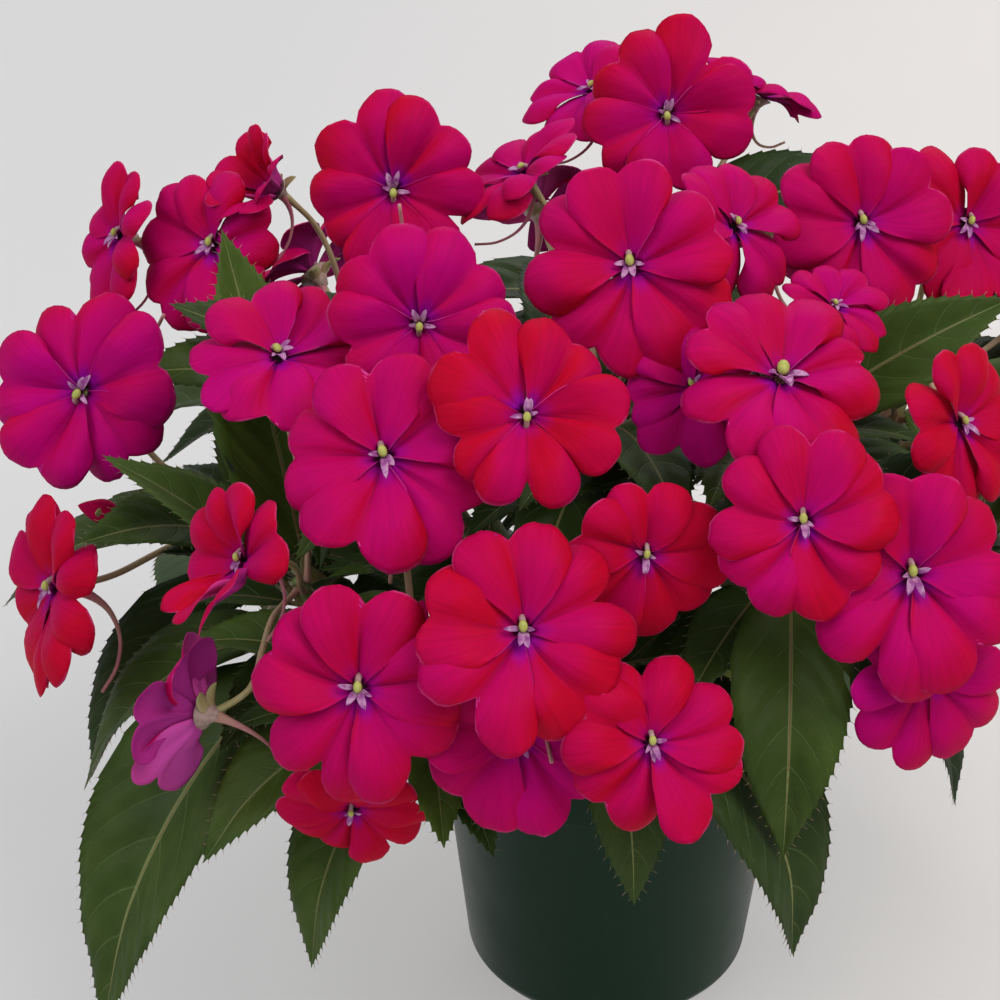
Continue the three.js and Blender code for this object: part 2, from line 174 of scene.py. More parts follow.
class Nodes:
    """The nodes of a material or a group, added by name with their inputs."""

    def __init__(self, tree):
        self.tree = tree
        self.shader = tree.nodes.get("Principled BSDF")

    def add(self, kind, inputs=None, **settings):
        node = self.tree.nodes.new("ShaderNode" + kind)
        for key, value in settings.items():
            setattr(node, key, value)
        for key, value in (inputs or {}).items():
            self.put(node.inputs[key], value)
        return node

    def put(self, socket, value):
        """A socket gets a link where the value is a node or an output, and a number otherwise."""
        if isinstance(value, bpy.types.Node):
            value = value.outputs[0]
        if isinstance(value, bpy.types.NodeSocket):
            self.tree.links.new(value, socket)
        else:
            socket.default_value = value

    def shade(self, **inputs):
        for key, value in inputs.items():
            self.put(self.shader.inputs[key.replace("_", " ")], value)

    def math(self, operation, a, b=0.0, clamp=False):
        return self.add("Math", {0: a, 1: b}, operation=operation, use_clamp=clamp)

    def times(self, a, b):
        return self.math("MULTIPLY", a, b)

    def ramp(self, value, low, high, to_low=0.0, to_high=1.0):
        """A value taken smoothly from one range to another."""
        inputs = {"Value": value, 1: low, 2: high, 3: to_low, 4: to_high}
        return self.add("MapRange", inputs, interpolation_type="SMOOTHSTEP")

    def mix(self, share, a, b):
        node = self.add("Mix", {0: share}, data_type="RGBA")
        self.put(node.inputs[6], a)
        self.put(node.inputs[7], b)
        return node.outputs[2]

    def value(self, name):
        """A number stored on the mesh's points."""
        return self.add("Attribute", attribute_name=name).outputs["Fac"]

    def spots(self):
        return self.add("TexCoord").outputs["Object"]

    def noise(self, scale, detail=3.0, roughness=0.5, at=None):
        inputs = {"Scale": scale, "Detail": detail, "Roughness": roughness}
        return self.add("TexNoise", {"Vector": at or self.spots(), **inputs}).outputs[0]

    def bump(self, height, distance, strength=1.0):
        inputs = {"Height": height, "Distance": distance, "Strength": strength}
        return self.add("Bump", inputs).outputs[0]


plastic, n = new_material("moulded_green_plastic")
cloudy = n.noise(28, 4, 0.6)
scuffed = n.ramp(n.noise(190, 5, 0.7), 0.56, 0.74)
fine = n.noise(2600, 2)
n.shade(
    Base_Color=n.mix(n.times(scuffed, 0.5), MOULDED, MOULDED_WORN),
    Roughness=n.ramp(cloudy, 0.3, 0.7, 0.30, 0.40),
    Normal=n.bump(fine, 0.00004, 0.5),
    Specular_IOR_Level=0.15,
)

wall = surface(turned(rounded(POT_OUTLINE), POT_TURNS), True)
pot = make_piece("pot_wall", [wall], plastic, ["pot"])
drills = bmesh.new()
for i in range(HOLE["count"]):
    turn = 2 * np.pi * i / HOLE["count"]
    made = bmesh.ops.create_cone(
        drills, cap_ends=True, segments=24, depth=HOLE["depth"] * MM,
        radius1=HOLE["radius"] * MM, radius2=HOLE["radius"] * MM,
    )
    place = (HOLE["circle"] * MM * np.cos(turn), HOLE["circle"] * MM * np.sin(turn), 0.003)
    bmesh.ops.translate(drills, verts=made["verts"], vec=place)
drill_mesh = bpy.data.meshes.new("drills")
drills.to_mesh(drill_mesh)
drills.free()
drill = bpy.data.objects.new("drills", drill_mesh)
bpy.context.scene.collection.objects.link(drill)
cut = pot.modifiers.new("holes", "BOOLEAN")
cut.object, cut.operation, cut.solver = drill, "DIFFERENCE", "EXACT"
bpy.context.view_layer.objects.active = pot
bpy.ops.object.modifier_apply(modifier=cut.name)
bpy.data.objects.remove(drill)

# Potting mix
# Damp peat with bark chips and grains of perlite, filled to just under the rim band and pressed
# down by hand, a little higher where the stems stand.
MIX_RINGS, MIX_TURNS = 42, 144
MIX = {"radius": 51.4, "top": 91, "fall": 5.2}  # its top falls from the middle to the wall
PEAT, PEAT_PALE = (0.018, 0.0105, 0.0065, 1), (0.060, 0.036, 0.021, 1)


def lattice_noise(spots, size, seed):
    """Smooth noise from -1 to 1 in space: random numbers on a lattice of cubes of that size, with
    an eased blend between the eight corners of each spot's cube."""
    at = np.asarray(spots, float) / size
    base = np.floor(at).astype(np.int64)
    part = at - base
    ease = part * part * (3 - 2 * part)
    total = 0
    for corner in np.ndindex(2, 2, 2):
        cell = base + corner
        mixed = cell[..., 0] * 73856093 ^ cell[..., 1] * 19349663 ^ cell[..., 2] * 83492791
        mixed = (mixed + seed * 2654435761) & 0x7FFFFFFF
        mixed = (mixed ^ (mixed >> 13)) * 1274126177 & 0x7FFFFFFF
        number = ((mixed ^ (mixed >> 16)) & 0xFFFF) / 32767.5 - 1
        weight = np.prod(np.where(corner, ease, 1 - ease), axis=-1)
        total = total + number * weight
    return total


def mix_height(radius):
    """How high the mix stands at a radius."""
    return MIX["top"] - MIX["fall"] * (radius / MIX["radius"]) ** 2.2


def mix_surface():
    """The mix as a turned body: up the inside of the pot, then in over a low dome, whose height
    is roughened by three sizes of noise that fade towards the wall."""
    side = np.array([(0, 4.0), (38.2, 4.0), (43.0, 7.0), (51.6, 84.0), (51.9, 85.4)])
    radius = np.linspace(MIX["radius"], 0, MIX_RINGS)
    height = mix_height(radius)
    points = turned(np.concatenate([side, np.stack([radius, height], -1)]), MIX_TURNS)
    top = points[len(side):]
    lumps, crumbs, grains = (lattice_noise(top, size, i + 1) for i, size in enumerate((9, 3.6, 1.7)))
    rough = 1.3 * lumps + 0.9 * crumbs + 0.4 * grains
    top[..., 2] += rough * np.clip((51.8 - radius[:, None]) / 4, 0.15, 1)
    return points


def unit_ball(rows, columns):
    """The points of a ball of radius one, in rings from its top to its bottom."""
    v = np.linspace(0, np.pi, rows)[:, None]
    u = np.linspace(0, 2 * np.pi, columns, endpoint=False)
    return np.stack([np.sin(v) * np.cos(u), np.sin(v) * np.sin(u), np.cos(v) + 0 * u], -1)


def turned_about(angle):
    """The matrix that turns rows of points about their third axis."""
    c, s = np.cos(angle), np.sin(angle)
    return np.array([[c, s, 0], [-s, c, 0], [0, 0, 1]])


def pebbles(count, sizes, flatness, seed):
    """Small irregular lumps half sunk in the top of the mix: balls of six rings, each pushed
    out of round by noise and squashed by the flatness."""
    rng = np.random.default_rng(seed)
    parts = []
    for i in range(count):
        r, a = 50 * np.sqrt(rng.random()), 2 * np.pi * rng.random()
        size = rng.uniform(*sizes)
        ball = unit_ball(6, 8)
        ball = ball * (1 + 0.35 * lattice_noise(ball + 7.3 * i, 0.8, seed))[..., None]
        ball *= size * np.array([1, rng.uniform(0.45, 1), flatness])
        ball = ball @ turned_about(2 * np.pi * rng.random())
        ball += (r * np.cos(a), r * np.sin(a), mix_height(r) + 0.5)
        parts.append(surface(ball, True))
    return parts


peat, n = new_material("damp_peat")
crumbs = n.noise(420, 6, 0.7)
n.shade(
    Base_Color=n.mix(n.ramp(crumbs, 0.42, 0.70), PEAT, PEAT_PALE),
    Roughness=n.ramp(n.noise(60), 0.3, 0.7, 0.78, 0.95),
    Normal=n.bump(crumbs, 0.0009, 0.8),
)
bark, n = new_material("bark_chips")
n.shade(
    Base_Color=n.mix(n.noise(350, 5), (0.035, 0.016, 0.008, 1), (0.15, 0.075, 0.035, 1)),
    Roughness=0.85,
    Normal=n.bump(n.noise(900, 4), 0.0004),
)
perlite, n = new_material("perlite_grains")
n.shade(
    Base_Color=n.mix(n.noise(500, 4), (0.42, 0.40, 0.36, 1), (0.72, 0.70, 0.66, 1)),
    Roughness=0.8,
    Normal=n.bump(n.noise(1500, 3), 0.0003),
)
make_piece("mix_body", [surface(mix_surface(), True)], peat, ["soil"])
make_piece("mix_bark", pebbles(150, (1.2, 3.4), 0.45, 11), bark)
make_piece("mix_perlite", pebbles(110, (0.7, 1.7), 0.8, 12), perlite)

# Stems
# Juicy green stems, flushed with red at their swollen joints. Each leaves the mix as one trunk,
# forks low down, and carries a shoot to each whorl of leaves.
SHOOTS = {
    # root of the stem on the mix, then the shoots that it carries, with their tips
    "stem_front": ((-3, -20), {"front_left": (-62, -82, 158), "front": (-10, -86, 174)}),
    "stem_right": ((19, -10), {"front_right": (47, -68, 198), "right": (104, -18, 174)}),
    "stem_left": ((-20, -8), {"left_front": (-92, -48, 168), "left": (-110, 6, 158)}),
    "stem_middle": (
        (-2, 2),
        {"top_left": (-56, -22, 212), "top": (-6, -24, 218), "top_right": (42, -34, 218)},
    ),
    "stem_back": (
        (9, 20),
        {"top_back": (10, 42, 226), "back": (12, 92, 172), "right_back": (92, 44, 182)},
    ),
    "stem_back_left": ((-16, 14), {"left_back": (-88, 42, 190), "back_left": (-66, 84, 160)}),
}
PLANTING, FORK_HEIGHT, FORK_SPREAD, FORK_SAG = 68, 105, 1.5, 6
TRUNK_RADIUS, SHOOT_RADIUS, STRAIGHT_TIP, TIP_SPREAD = 4.4, 2.8, 22, 150
WHORL_DEPTH = 15.5  # how far a whorl's middle lies below its shoot's tip


def spline(knots, values, at):
    """A smooth curve through the values at the knots. Between two knots it is the cubic whose
    slopes at both are those of the parabola through each knot and its neighbours."""
    knots, values, at = (np.asarray(x, float) for x in (knots, values, at))
    slopes = np.gradient(values, knots, axis=0)
    i = np.clip(np.searchsorted(knots, at, side="right") - 1, 0, len(knots) - 2)
    span = knots[i + 1] - knots[i]
    t = (at - knots[i]) / span
    if values.ndim > 1:
        span, t = span[:, None], t[:, None]
    start, end = values[i], values[i + 1]
    rise = slopes[i] * span * t * (1 - t) ** 2 - slopes[i + 1] * span * t**2 * (1 - t)
    return start * (1 + 2 * t) * (1 - t) ** 2 + end * t**2 * (3 - 2 * t) + rise


def path_through(corners, count):
    """Points along a smooth curve through the corners, whose knots are spaced by the square root
    of the distance between them, so that the curve never loops."""
    corners = np.asarray(corners, float)
    steps = np.sqrt(np.linalg.norm(np.diff(corners, axis=0), axis=1))
    knots = np.concatenate([[0], np.cumsum(steps)])
    return spline(knots, corners, np.linspace(0, knots[-1], count))


def tube(path, radius, sides, beside, **values):
    """A round section of the given radius carried along a path, with both ends drawn in to a
    point. Beside is a direction that the path never runs along."""
    count = len(path)
    path = np.concatenate([path[:1], path, path[-1:]])
    radius = np.concatenate([[0], np.broadcast_to(radius, count), [0]])
    along = unit(np.gradient(path, axis=0) + 1e-12)
    first = unit(beside - along * (along @ beside)[:, None])
    second = np.cross(along, first)
    turn = np.linspace(0, 2 * np.pi, sides, endpoint=False)[None, :, None]
    ring = first[:, None] * np.cos(turn) + second[:, None] * np.sin(turn)
    ended = {k: np.pad(np.broadcast_to(v, count), 1, mode="edge")[:, None] for k, v in values.items()}
    return surface(path[:, None] + radius[:, None, None] * ring, True, **ended)


def shoot_axis(tip):
    """A shoot's straight tip points outwards, and more upwards."""
    return unit([tip[0], tip[1], TIP_SPREAD])


def joint_swell(distance, places, width):
    """One at each of the places along a stem, falling to nothing over the width."""
    gaps = distance[:, None] - np.asarray(places)[None, :]
    return np.exp(-((gaps / width) ** 2)).sum(axis=1)


def shoot_path(root, tip):
    """A smooth line from inside the trunk, through the fork and a sagging elbow, to the tip."""
    root, tip = np.array([*root[:2], PLANTING], float), np.array(tip, float)
    fork = np.array([FORK_SPREAD * root[0], FORK_SPREAD * root[1], FORK_HEIGHT])
    neck = tip - STRAIGHT_TIP * shoot_axis(tip)
    elbow = (fork + neck) / 2 - (0, 0, FORK_SAG)
    return path_through([root + 0.8 * (fork - root), fork, elbow, neck, tip], 70)


def stem_parts(root, tips):
    """A trunk from the root to the fork, and a shoot to each tip. Both swell and redden at their
    joints."""
    root = np.array([*root, PLANTING], float)
    fork = np.array([FORK_SPREAD * root[0], FORK_SPREAD * root[1], FORK_HEIGHT])
    trunk = np.linspace(root, fork + 0.12 * (fork - root), 24)
    level = trunk[:, 2]
    swell = joint_swell(level, (94, 104), 3.4)
    radius = TRUNK_RADIUS * (0.92 + 0.16 * swell)
    parts = [tube(trunk, radius, 18, np.array([0.3, 1, 0]), flush=np.clip(swell, 0, 1))]
    for tip in tips.values():
        path, axis = shoot_path(root, tip), shoot_axis(tip)
        walked = np.concatenate([[0], np.cumsum(np.linalg.norm(np.diff(path, axis=0), axis=1))])
        end = walked[-1]
        joints = [0.25 * end, 0.5 * end, 0.72 * end, end - WHORL_DEPTH]
        swell = joint_swell(walked, joints[:3], 4) + 1.5 * joint_swell(walked, joints[3:], 5.5)
        taper = np.clip((end - walked) / 9, 0.25, 1) ** 0.5
        radius = SHOOT_RADIUS * (0.9 + 0.24 * swell) * taper
        beside = np.array([-axis[1], axis[0], 0.0])
        parts.append(tube(path, radius, 14, beside, flush=np.clip(swell, 0, 1)))
    return parts


def new_group(name, inputs, outputs):
    """A shader group with number or colour sockets, and short ways to add nodes to it."""
    tree = bpy.data.node_groups.new(name, "ShaderNodeTree")
    for way, sockets in (("INPUT", inputs), ("OUTPUT", outputs)):
        for socket, kind in sockets.items():
            tree.interface.new_socket(socket, in_out=way, socket_type="NodeSocket" + kind)
    n = Nodes(tree)
    return tree, n, tree.nodes.new("NodeGroupInput").outputs, tree.nodes.new("NodeGroupOutput").inputs


# Juicy skin: lengthwise streaks between two greens, with a blotched flush of red over them.
skin_group, n, given, made = new_group(
    "juicy_skin",
    {"Flush": "Float", "Deep": "Color", "Pale": "Color", "Red": "Color"},
    {"Color": "Color", "Height": "Float"},
)
streaks = n.add("Mapping", {"Vector": n.spots(), "Scale": (1, 1, 0.15)})
streaky = n.noise(700, 3, 0.5, at=streaks.outputs[0])
green = n.mix(streaky, given["Deep"], given["Pale"])
blush = n.math("MULTIPLY", n.ramp(n.noise(60), 0.25, 0.75, 0.4, 1.0), given["Flush"], clamp=True)
n.put(made["Color"], n.mix(blush, green, given["Red"]))
n.put(made["Height"], streaky)


def juicy_material(name, deep, pale, red, roughness):
    """A material of the juicy skin with its own colours."""
    material, n = new_material(name)
    skin = n.add("Group", node_tree=skin_group)
    for socket, value in {"Flush": n.value("flush"), "Deep": deep, "Pale": pale, "Red": red}.items():
        n.put(skin.inputs[socket], value)
    n.shade(
        Base_Color=skin.outputs["Color"],
        Roughness=roughness,
        Subsurface_Weight=0.08,
        Subsurface_Radius=(0.002, 0.0015, 0.0005),
        Normal=n.bump(skin.outputs["Height"], 0.0002, 0.6),
    )
    return material


stem_skin = juicy_material(
    "stem_skin", (0.085, 0.125, 0.025, 1), (0.170, 0.220, 0.060, 1), (0.22, 0.060, 0.040, 1), 0.42
)
for name, (root, tips) in SHOOTS.items():
    make_piece(name.replace("stem", "stalks"), stem_parts(root, tips), stem_skin, [name])
TIPS = {shoot: np.array(tip, float) for _, tips in SHOOTS.values() for shoot, tip in tips.items()}

# Leaves
# Dark green lance-shaped leaves, in whorls of six. Each is a thin satin blade on a short stalk
# that runs on below it as the midrib, with arching side veins and small teeth that each end in a
# bristle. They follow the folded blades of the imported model.
LEAF_SHARES = np.array([0.13, 0.24, 0.44, 0.72, 1.0])  # how far along a leaf its measured rings lie
RING_CORNERS = 4
BLADE_START, BLADE_END = 0.10, 1.025
BLADE_COLUMNS = 11
TOOTH_PITCH, TOOTH_DEPTH = 4.6, 0.75
VEIN_PITCH, VEIN_SWEEP = 11.5, 0.36
BLADE_THICKNESS = 0.34
BRISTLE = {"length": 1.7, "radius": 0.13}
LEAF_FOLD, LEAF_PUFF, LEAF_WAVE = 0.32, 0.016, 0.035  # as shares of the leaf's width
COLLAR_RADIUS, COLLAR_HALF = 5.6, 6.9  # no leaf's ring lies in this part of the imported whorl
SOLID_EDGE = 3.2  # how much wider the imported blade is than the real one


def node_corners(name):
    """A node's corners in millimetres, with those of its loose triangles merged, and its
    triangles as numbers of corners."""
    mesh = frame["nodes"][name].data
    places = np.empty(len(mesh.vertices) * 3, np.float32)
    mesh.vertices.foreach_get("co", places)
    corner = np.empty(len(mesh.loops), np.int32)
    mesh.loops.foreach_get("vertex_index", corner)
    merged, number = np.unique(np.round(places.reshape(-1, 3) / MM, 3), axis=0, return_inverse=True)
    return merged, number.ravel()[corner].reshape(-1, 3)


def linked_groups(count, pairs):
    """A number for each point, the same for all points that the pairs link."""
    group = np.arange(count)
    while True:
        before = group.copy()
        np.minimum.at(group, pairs[:, 0], group[pairs[:, 1]])
        np.minimum.at(group, pairs[:, 1], group[pairs[:, 0]])
        if (group == before).all():
            return group


def measured_leaves(node, tip):
    """The leaves of a whorl, measured on its node. Once the corners near the shoot are taken off,
    each leaf is five rings of four corners: two edges, top and underside. Gives each leaf's
    midrib points, its unit direction across at each, its width and its length."""
    places, triangles = node_corners(node)
    axis = shoot_axis(tip)
    whorl = tip - WHORL_DEPTH * axis
    height = (places - whorl) @ axis
    reach = np.linalg.norm(places - whorl - height[:, None] * axis, axis=1)
    free = (reach > COLLAR_RADIUS) | (abs(height) > COLLAR_HALF)
    pairs = np.concatenate([triangles[:, [0, 1]], triangles[:, [1, 2]], triangles[:, [2, 0]]])
    group = linked_groups(len(places), pairs[free[pairs].all(axis=1)])
    leaves = []
    for one in np.unique(group[free]):
        corners = places[free & (group == one)]
        corners = corners[np.argsort(np.linalg.norm(corners - whorl, axis=1))]
        rings = corners.reshape(len(LEAF_SHARES), RING_CORNERS, 3)
        gaps = np.linalg.norm(rings[:, :, None] - rings[:, None], axis=-1)
        widest = gaps.reshape(len(rings), -1).argmax(axis=1)
        left, right = widest // RING_CORNERS, widest % RING_CORNERS
        each = np.arange(len(rings))
        edges = np.stack([rings[each, left], rings[each, right]], axis=1)
        midrib = (rings.sum(axis=1) - edges.sum(axis=1)) / 2
        across = unit(edges[:, 1] - edges[:, 0])
        across *= np.sign(across @ across[2])[:, None]
        along = unit(midrib[3] - midrib[1])
        lifted = edges[2].mean(axis=0) - midrib[2]
        across *= np.sign(np.cross(along, across[2]) @ lifted)
        length = np.linalg.norm(midrib[2] - midrib[1]) / (LEAF_SHARES[2] - LEAF_SHARES[1])
        width = np.linalg.norm(edges[2, 1] - edges[2, 0]) - SOLID_EDGE
        leaves.append((midrib, across, width, length))
    return leaves


def leaf_line(midrib, length, seat):
    """A leaf's midrib as knots and points from inside the shoot to its tip. The stalk's foot is
    found by running the leaf's first turn backwards."""
    first = unit(midrib[1] - midrib[0])
    second = unit(midrib[2] - midrib[1])
    foot = midrib[0] - unit(first + 0.43 * (first - second)) * LEAF_SHARES[0] * length
    inside = foot + unit(seat - foot) * 2.4
    knots = np.concatenate([[-2.6 / length, 0], LEAF_SHARES])
    return knots, np.concatenate([[inside, foot], midrib])


def spikes(feet, ends, radius, **values):
    """Thin three-sided spikes, one from each foot to its end, as one part of a mesh."""
    along = unit(ends - feet)
    beside = unit(np.cross(along, np.array([0.31, 0.22, 0.92])))
    third = np.cross(along, beside)
    turn = 2 * np.pi * np.arange(3)[:, None, None] / 3
    ring = feet + radius * (beside * np.cos(turn) + third * np.sin(turn))
    rows = np.stack([np.broadcast_to(feet, ring.shape), ring, np.broadcast_to(ends, ring.shape)])
    points = rows.transpose(2, 0, 1, 3).reshape(-1, 3)
    faces = grid_faces(3, 3, True) + 9 * np.arange(len(feet))[:, None, None]
    return points, faces.reshape(-1, 4), {k: np.full(len(points), float(v)) for k, v in values.items()}


def leaf_parts(midrib, across, width, length, seat, tone, seed, curl=0.0):
    """A leaf as a blade, a stalk with its midrib, and bristles. Along the blade the half width is
    t to the 0.8 times (1 - t) to the 1.25, scaled to the measured width. Rows run in chevrons
    along the side veins, the blade is folded up from the midrib and puffed between the veins, and
    each third row stands out as a tooth. Curl rolls the sides in, as a drying leaf's are."""
    rng = np.random.default_rng(seed)
    knots, points = leaf_line(midrib, length, seat)
    cross = np.concatenate([across[:1], across[:1], across])
    teeth = max(int(round((BLADE_END - BLADE_START) * length / TOOTH_PITCH)), 5)
    tooth_rows = (np.arange(teeth)[:, None] + np.array([0.0, 0.5, 0.8])).ravel() / teeth
    w = np.append(tooth_rows, 1.0)[:, None]
    jut = np.append(np.tile([0.0, 0.45, 1.0], teeth), 0.0)[:, None]
    u = np.linspace(-1, 1, BLADE_COLUMNS)[None, :]
    u = np.sign(u) * abs(u) ** 0.9
    t = w + VEIN_SWEEP * abs(u) ** 1.2 * (1 - w) ** 0.8 * np.clip(w / 0.14, 0, 1)
    share = BLADE_START + (BLADE_END - BLADE_START) * t
    line = spline(knots, points, share.ravel()).reshape(*share.shape, 3)
    side = unit(spline(knots, cross, share.ravel())).reshape(*share.shape, 3)
    ahead = spline(knots, points, (share + 0.004).ravel()).reshape(*share.shape, 3)
    along = unit(ahead - line)
    out = unit(np.cross(along, side))
    peak = 0.39**0.8 * 0.61**1.25
    half = 0.5 * width * np.clip(t, 0, 1) ** 0.8 * np.clip(1 - t, 0, 1) ** 1.25 / peak
    edge = abs(u) ** 9 * jut * TOOTH_DEPTH * np.clip(w * 8, 0, 1) * np.clip((1 - w) * 6, 0, 1)
    veins = np.clip(length / VEIN_PITCH, 4, 8)
    puff = LEAF_PUFF * width * np.sin(np.pi * w * veins) ** 2 * np.sin(np.pi * abs(u)) ** 0.8
    wave = LEAF_WAVE * width * abs(u) ** 2.5 * lattice_noise(line + rng.uniform(0, 99, 3), 13, seed)
    fold = (LEAF_FOLD + curl) * half * (1.12 * abs(u) - 0.2 * abs(u) ** 3)
    half = half * (1 - 0.45 * curl * abs(u))
    wave = wave * (1 + 2.5 * curl)
    rise = fold + (puff + wave) * np.clip(half / (0.2 * width), 0, 1)
    front = line + side * ((half + edge) * u)[..., None] + out * rise[..., None]
    front = front + along * (0.7 * edge)[..., None]
    thick = BLADE_THICKNESS * (1 - 0.6 * abs(u) ** 4) * np.clip((1 - w) * 9, 0.2, 1)
    back = front - out * (thick + 0.0 * u)[..., None]
    blade = shell(front, back, across=u, along=w, vein=w * veins, tone=tone, stalk=0.0, bristle=0.0)
    reach = np.concatenate([np.linspace(knots[0], 0.16, 10), np.linspace(0.2, 0.97, 20)])
    rib = spline(knots, points, reach)
    rib_out = np.cross(unit(np.gradient(rib, axis=0)), unit(spline(knots, cross, reach)))
    on_blade = np.clip((reach - BLADE_START) / 0.08, 0, 1)
    rib_radius = np.interp(reach, [0, 0.10, 0.2, 1], [1.25, 1.0, 0.7, 0.16]) * (0.55 + 0.006 * length)
    rib = rib - rib_out * (on_blade * (0.45 * rib_radius + 0.3 * BLADE_THICKNESS))[:, None]
    chord = unit(points[-1] - points[0])
    beside = np.array([-chord[1], chord[0], chord[2]]) + (0.1, 0.2, 0.3)
    stalk = tube(
        rib, rib_radius, 8, beside,
        across=0, along=reach, vein=0, tone=tone, stalk=1, bristle=0, back=0,
    )
    tips = np.flatnonzero(jut.ravel() == 1.0)
    tips = tips[(w.ravel()[tips] > 0.06) & (w.ravel()[tips] < 0.97)]
    feet, away = [], []
    for column, way in ((0, -1), (-1, 1)):
        feet.append(front[tips, column] - out[tips, column] * 0.08)
        lean = rng.normal(0, 0.22, (len(tips), 3))
        away.append(unit(side[tips, column] * way * 0.75 + along[tips, column] * 0.7 + lean))
    feet, away = np.concatenate(feet), np.concatenate(away)
    long = BRISTLE["length"] * rng.uniform(0.6, 1.15, (len(feet), 1)) * (0.7 + 0.003 * length)
    hairs = spikes(
        feet - away * 0.3, feet + away * long, BRISTLE["radius"],
        across=1, along=0.5, vein=0.5, tone=tone, stalk=0, bristle=1, back=0,
    )
    return [blade, stalk, hairs]


leaf_skin, n = new_material("leaf_skin")
across, along, vein = n.value("across"), n.value("along"), n.value("vein")
off_rib = n.math("ABSOLUTE", across)
rib_line = n.ramp(off_rib, 0.010, 0.045, 1.0, 0.0)
gap = n.math("PINGPONG", vein, 0.5)
to_edge = n.ramp(off_rib, 0.55, 0.98, 1.0, 0.0)
side_line = n.times(n.ramp(gap, 0.0, 0.05, 1.0, 0.0), to_edge)
mottle = n.noise(55, 4, 0.6)
pores = n.noise(1500, 3, 0.6)
deep = n.mix(n.value("tone"), (0.0058, 0.0160, 0.0024, 1), (0.0440, 0.0800, 0.0080, 1))
pale = n.mix(n.value("tone"), (0.0125, 0.0290, 0.0048, 1), (0.0740, 0.1180, 0.0160, 1))
specks = n.ramp(n.noise(900, 2, 0.7), 0.66, 0.74, 0.0, 0.35)
upper = n.mix(n.ramp(mottle, 0.3, 0.75), deep, pale)
upper = n.mix(specks, upper, (0.120, 0.150, 0.070, 1))
upper = n.mix(n.times(side_line, 0.38), upper, (0.105, 0.155, 0.050, 1))
upper = n.mix(n.times(rib_line, 0.85), upper, (0.22, 0.28, 0.10, 1))
under = n.mix(mottle, (0.060, 0.105, 0.045, 1), (0.105, 0.160, 0.075, 1))
under = n.mix(n.times(side_line, 0.6), under, (0.17, 0.21, 0.11, 1))
both = n.mix(n.value("back"), upper, under)
stem_green = n.mix(n.noise(70), (0.115, 0.150, 0.045, 1), (0.20, 0.075, 0.050, 1))
with_stalk = n.mix(n.value("stalk"), both, stem_green)
leaf_colour = n.mix(n.value("bristle"), with_stalk, (0.30, 0.22, 0.15, 1))
relief = n.math("ADD", n.times(pores, 0.35), n.times(side_line, -0.6))
n.shade(
    Base_Color=leaf_colour,
    Roughness=n.ramp(n.noise(35, 4), 0.3, 0.7, 0.44, 0.58),
    Specular_IOR_Level=0.17,
    Normal=n.bump(relief, 0.00030, 0.8),
)
LIGHTER = {  # whorls whose leaves are lighter than the rest, or darker
    "left_front": 0.50, "front_left": 0.42, "left": 0.05, "top_right": 0.25, "front": 0.1,
    "front_right": -0.15,
}
for index, (shoot, tip) in enumerate(TIPS.items()):
    parts = []
    seat = tip - WHORL_DEPTH * shoot_axis(tip)
    for number, form in enumerate(measured_leaves("leaves_" + shoot, tip)):
        seed = 100 * index + number
        tone = max(np.random.default_rng(seed).beta(1.6, 3.4) + LIGHTER.get(shoot, 0), 0)
        parts += leaf_parts(*form, seat, tone, seed)
    make_piece("foliage_" + shoot, parts, leaf_skin, ["leaves_" + shoot])

# Flowers
# Each flower has five heart-shaped petals that overlap, each with two round lobes and a soft
# crease between them. They are thin and velvety, crimson to magenta, with violet at their feet.
# Painted light makes the parts of the petals that face up and to the left more magenta, painted
# shade darkens each crease, and a painted highlight lies in pale pink patches along the rims.
PETAL_MIDDLES = (90, 162, 234, 306, 18)
VIOLET_SHARES = (0.35, 0.55, 1.0, 1.0, 0.55)
LOBE_SPREAD, LOBE_RADIUS = radians(20.5), 0.315
PETAL_ROWS, PETAL_COLUMNS = 18, 25
PETAL_THICKNESS = 0.3
EYE_DEPTH, EYE_CORNER_FACES = 4.0, 15
DOME, CREASE, LAP, DISH, DROOP = 2.1, 1.6, 1.9, 4.4, 2.6  # in millimetres, on a flower 50 across
WAVE, WRINKLE = 1.5, 0.22
PETAL_START = 0.07  # where a petal begins, as a share of its reach
BEHIND_EYE, OFF_AXIS, RING_REACH = 8.6, 3, 2.6  # these tell the corners of a packed stalk
LOW_REACH = 0.48 * 1.09 * 1.038  # how far the two lowest lobes reach, as a share of the diameter


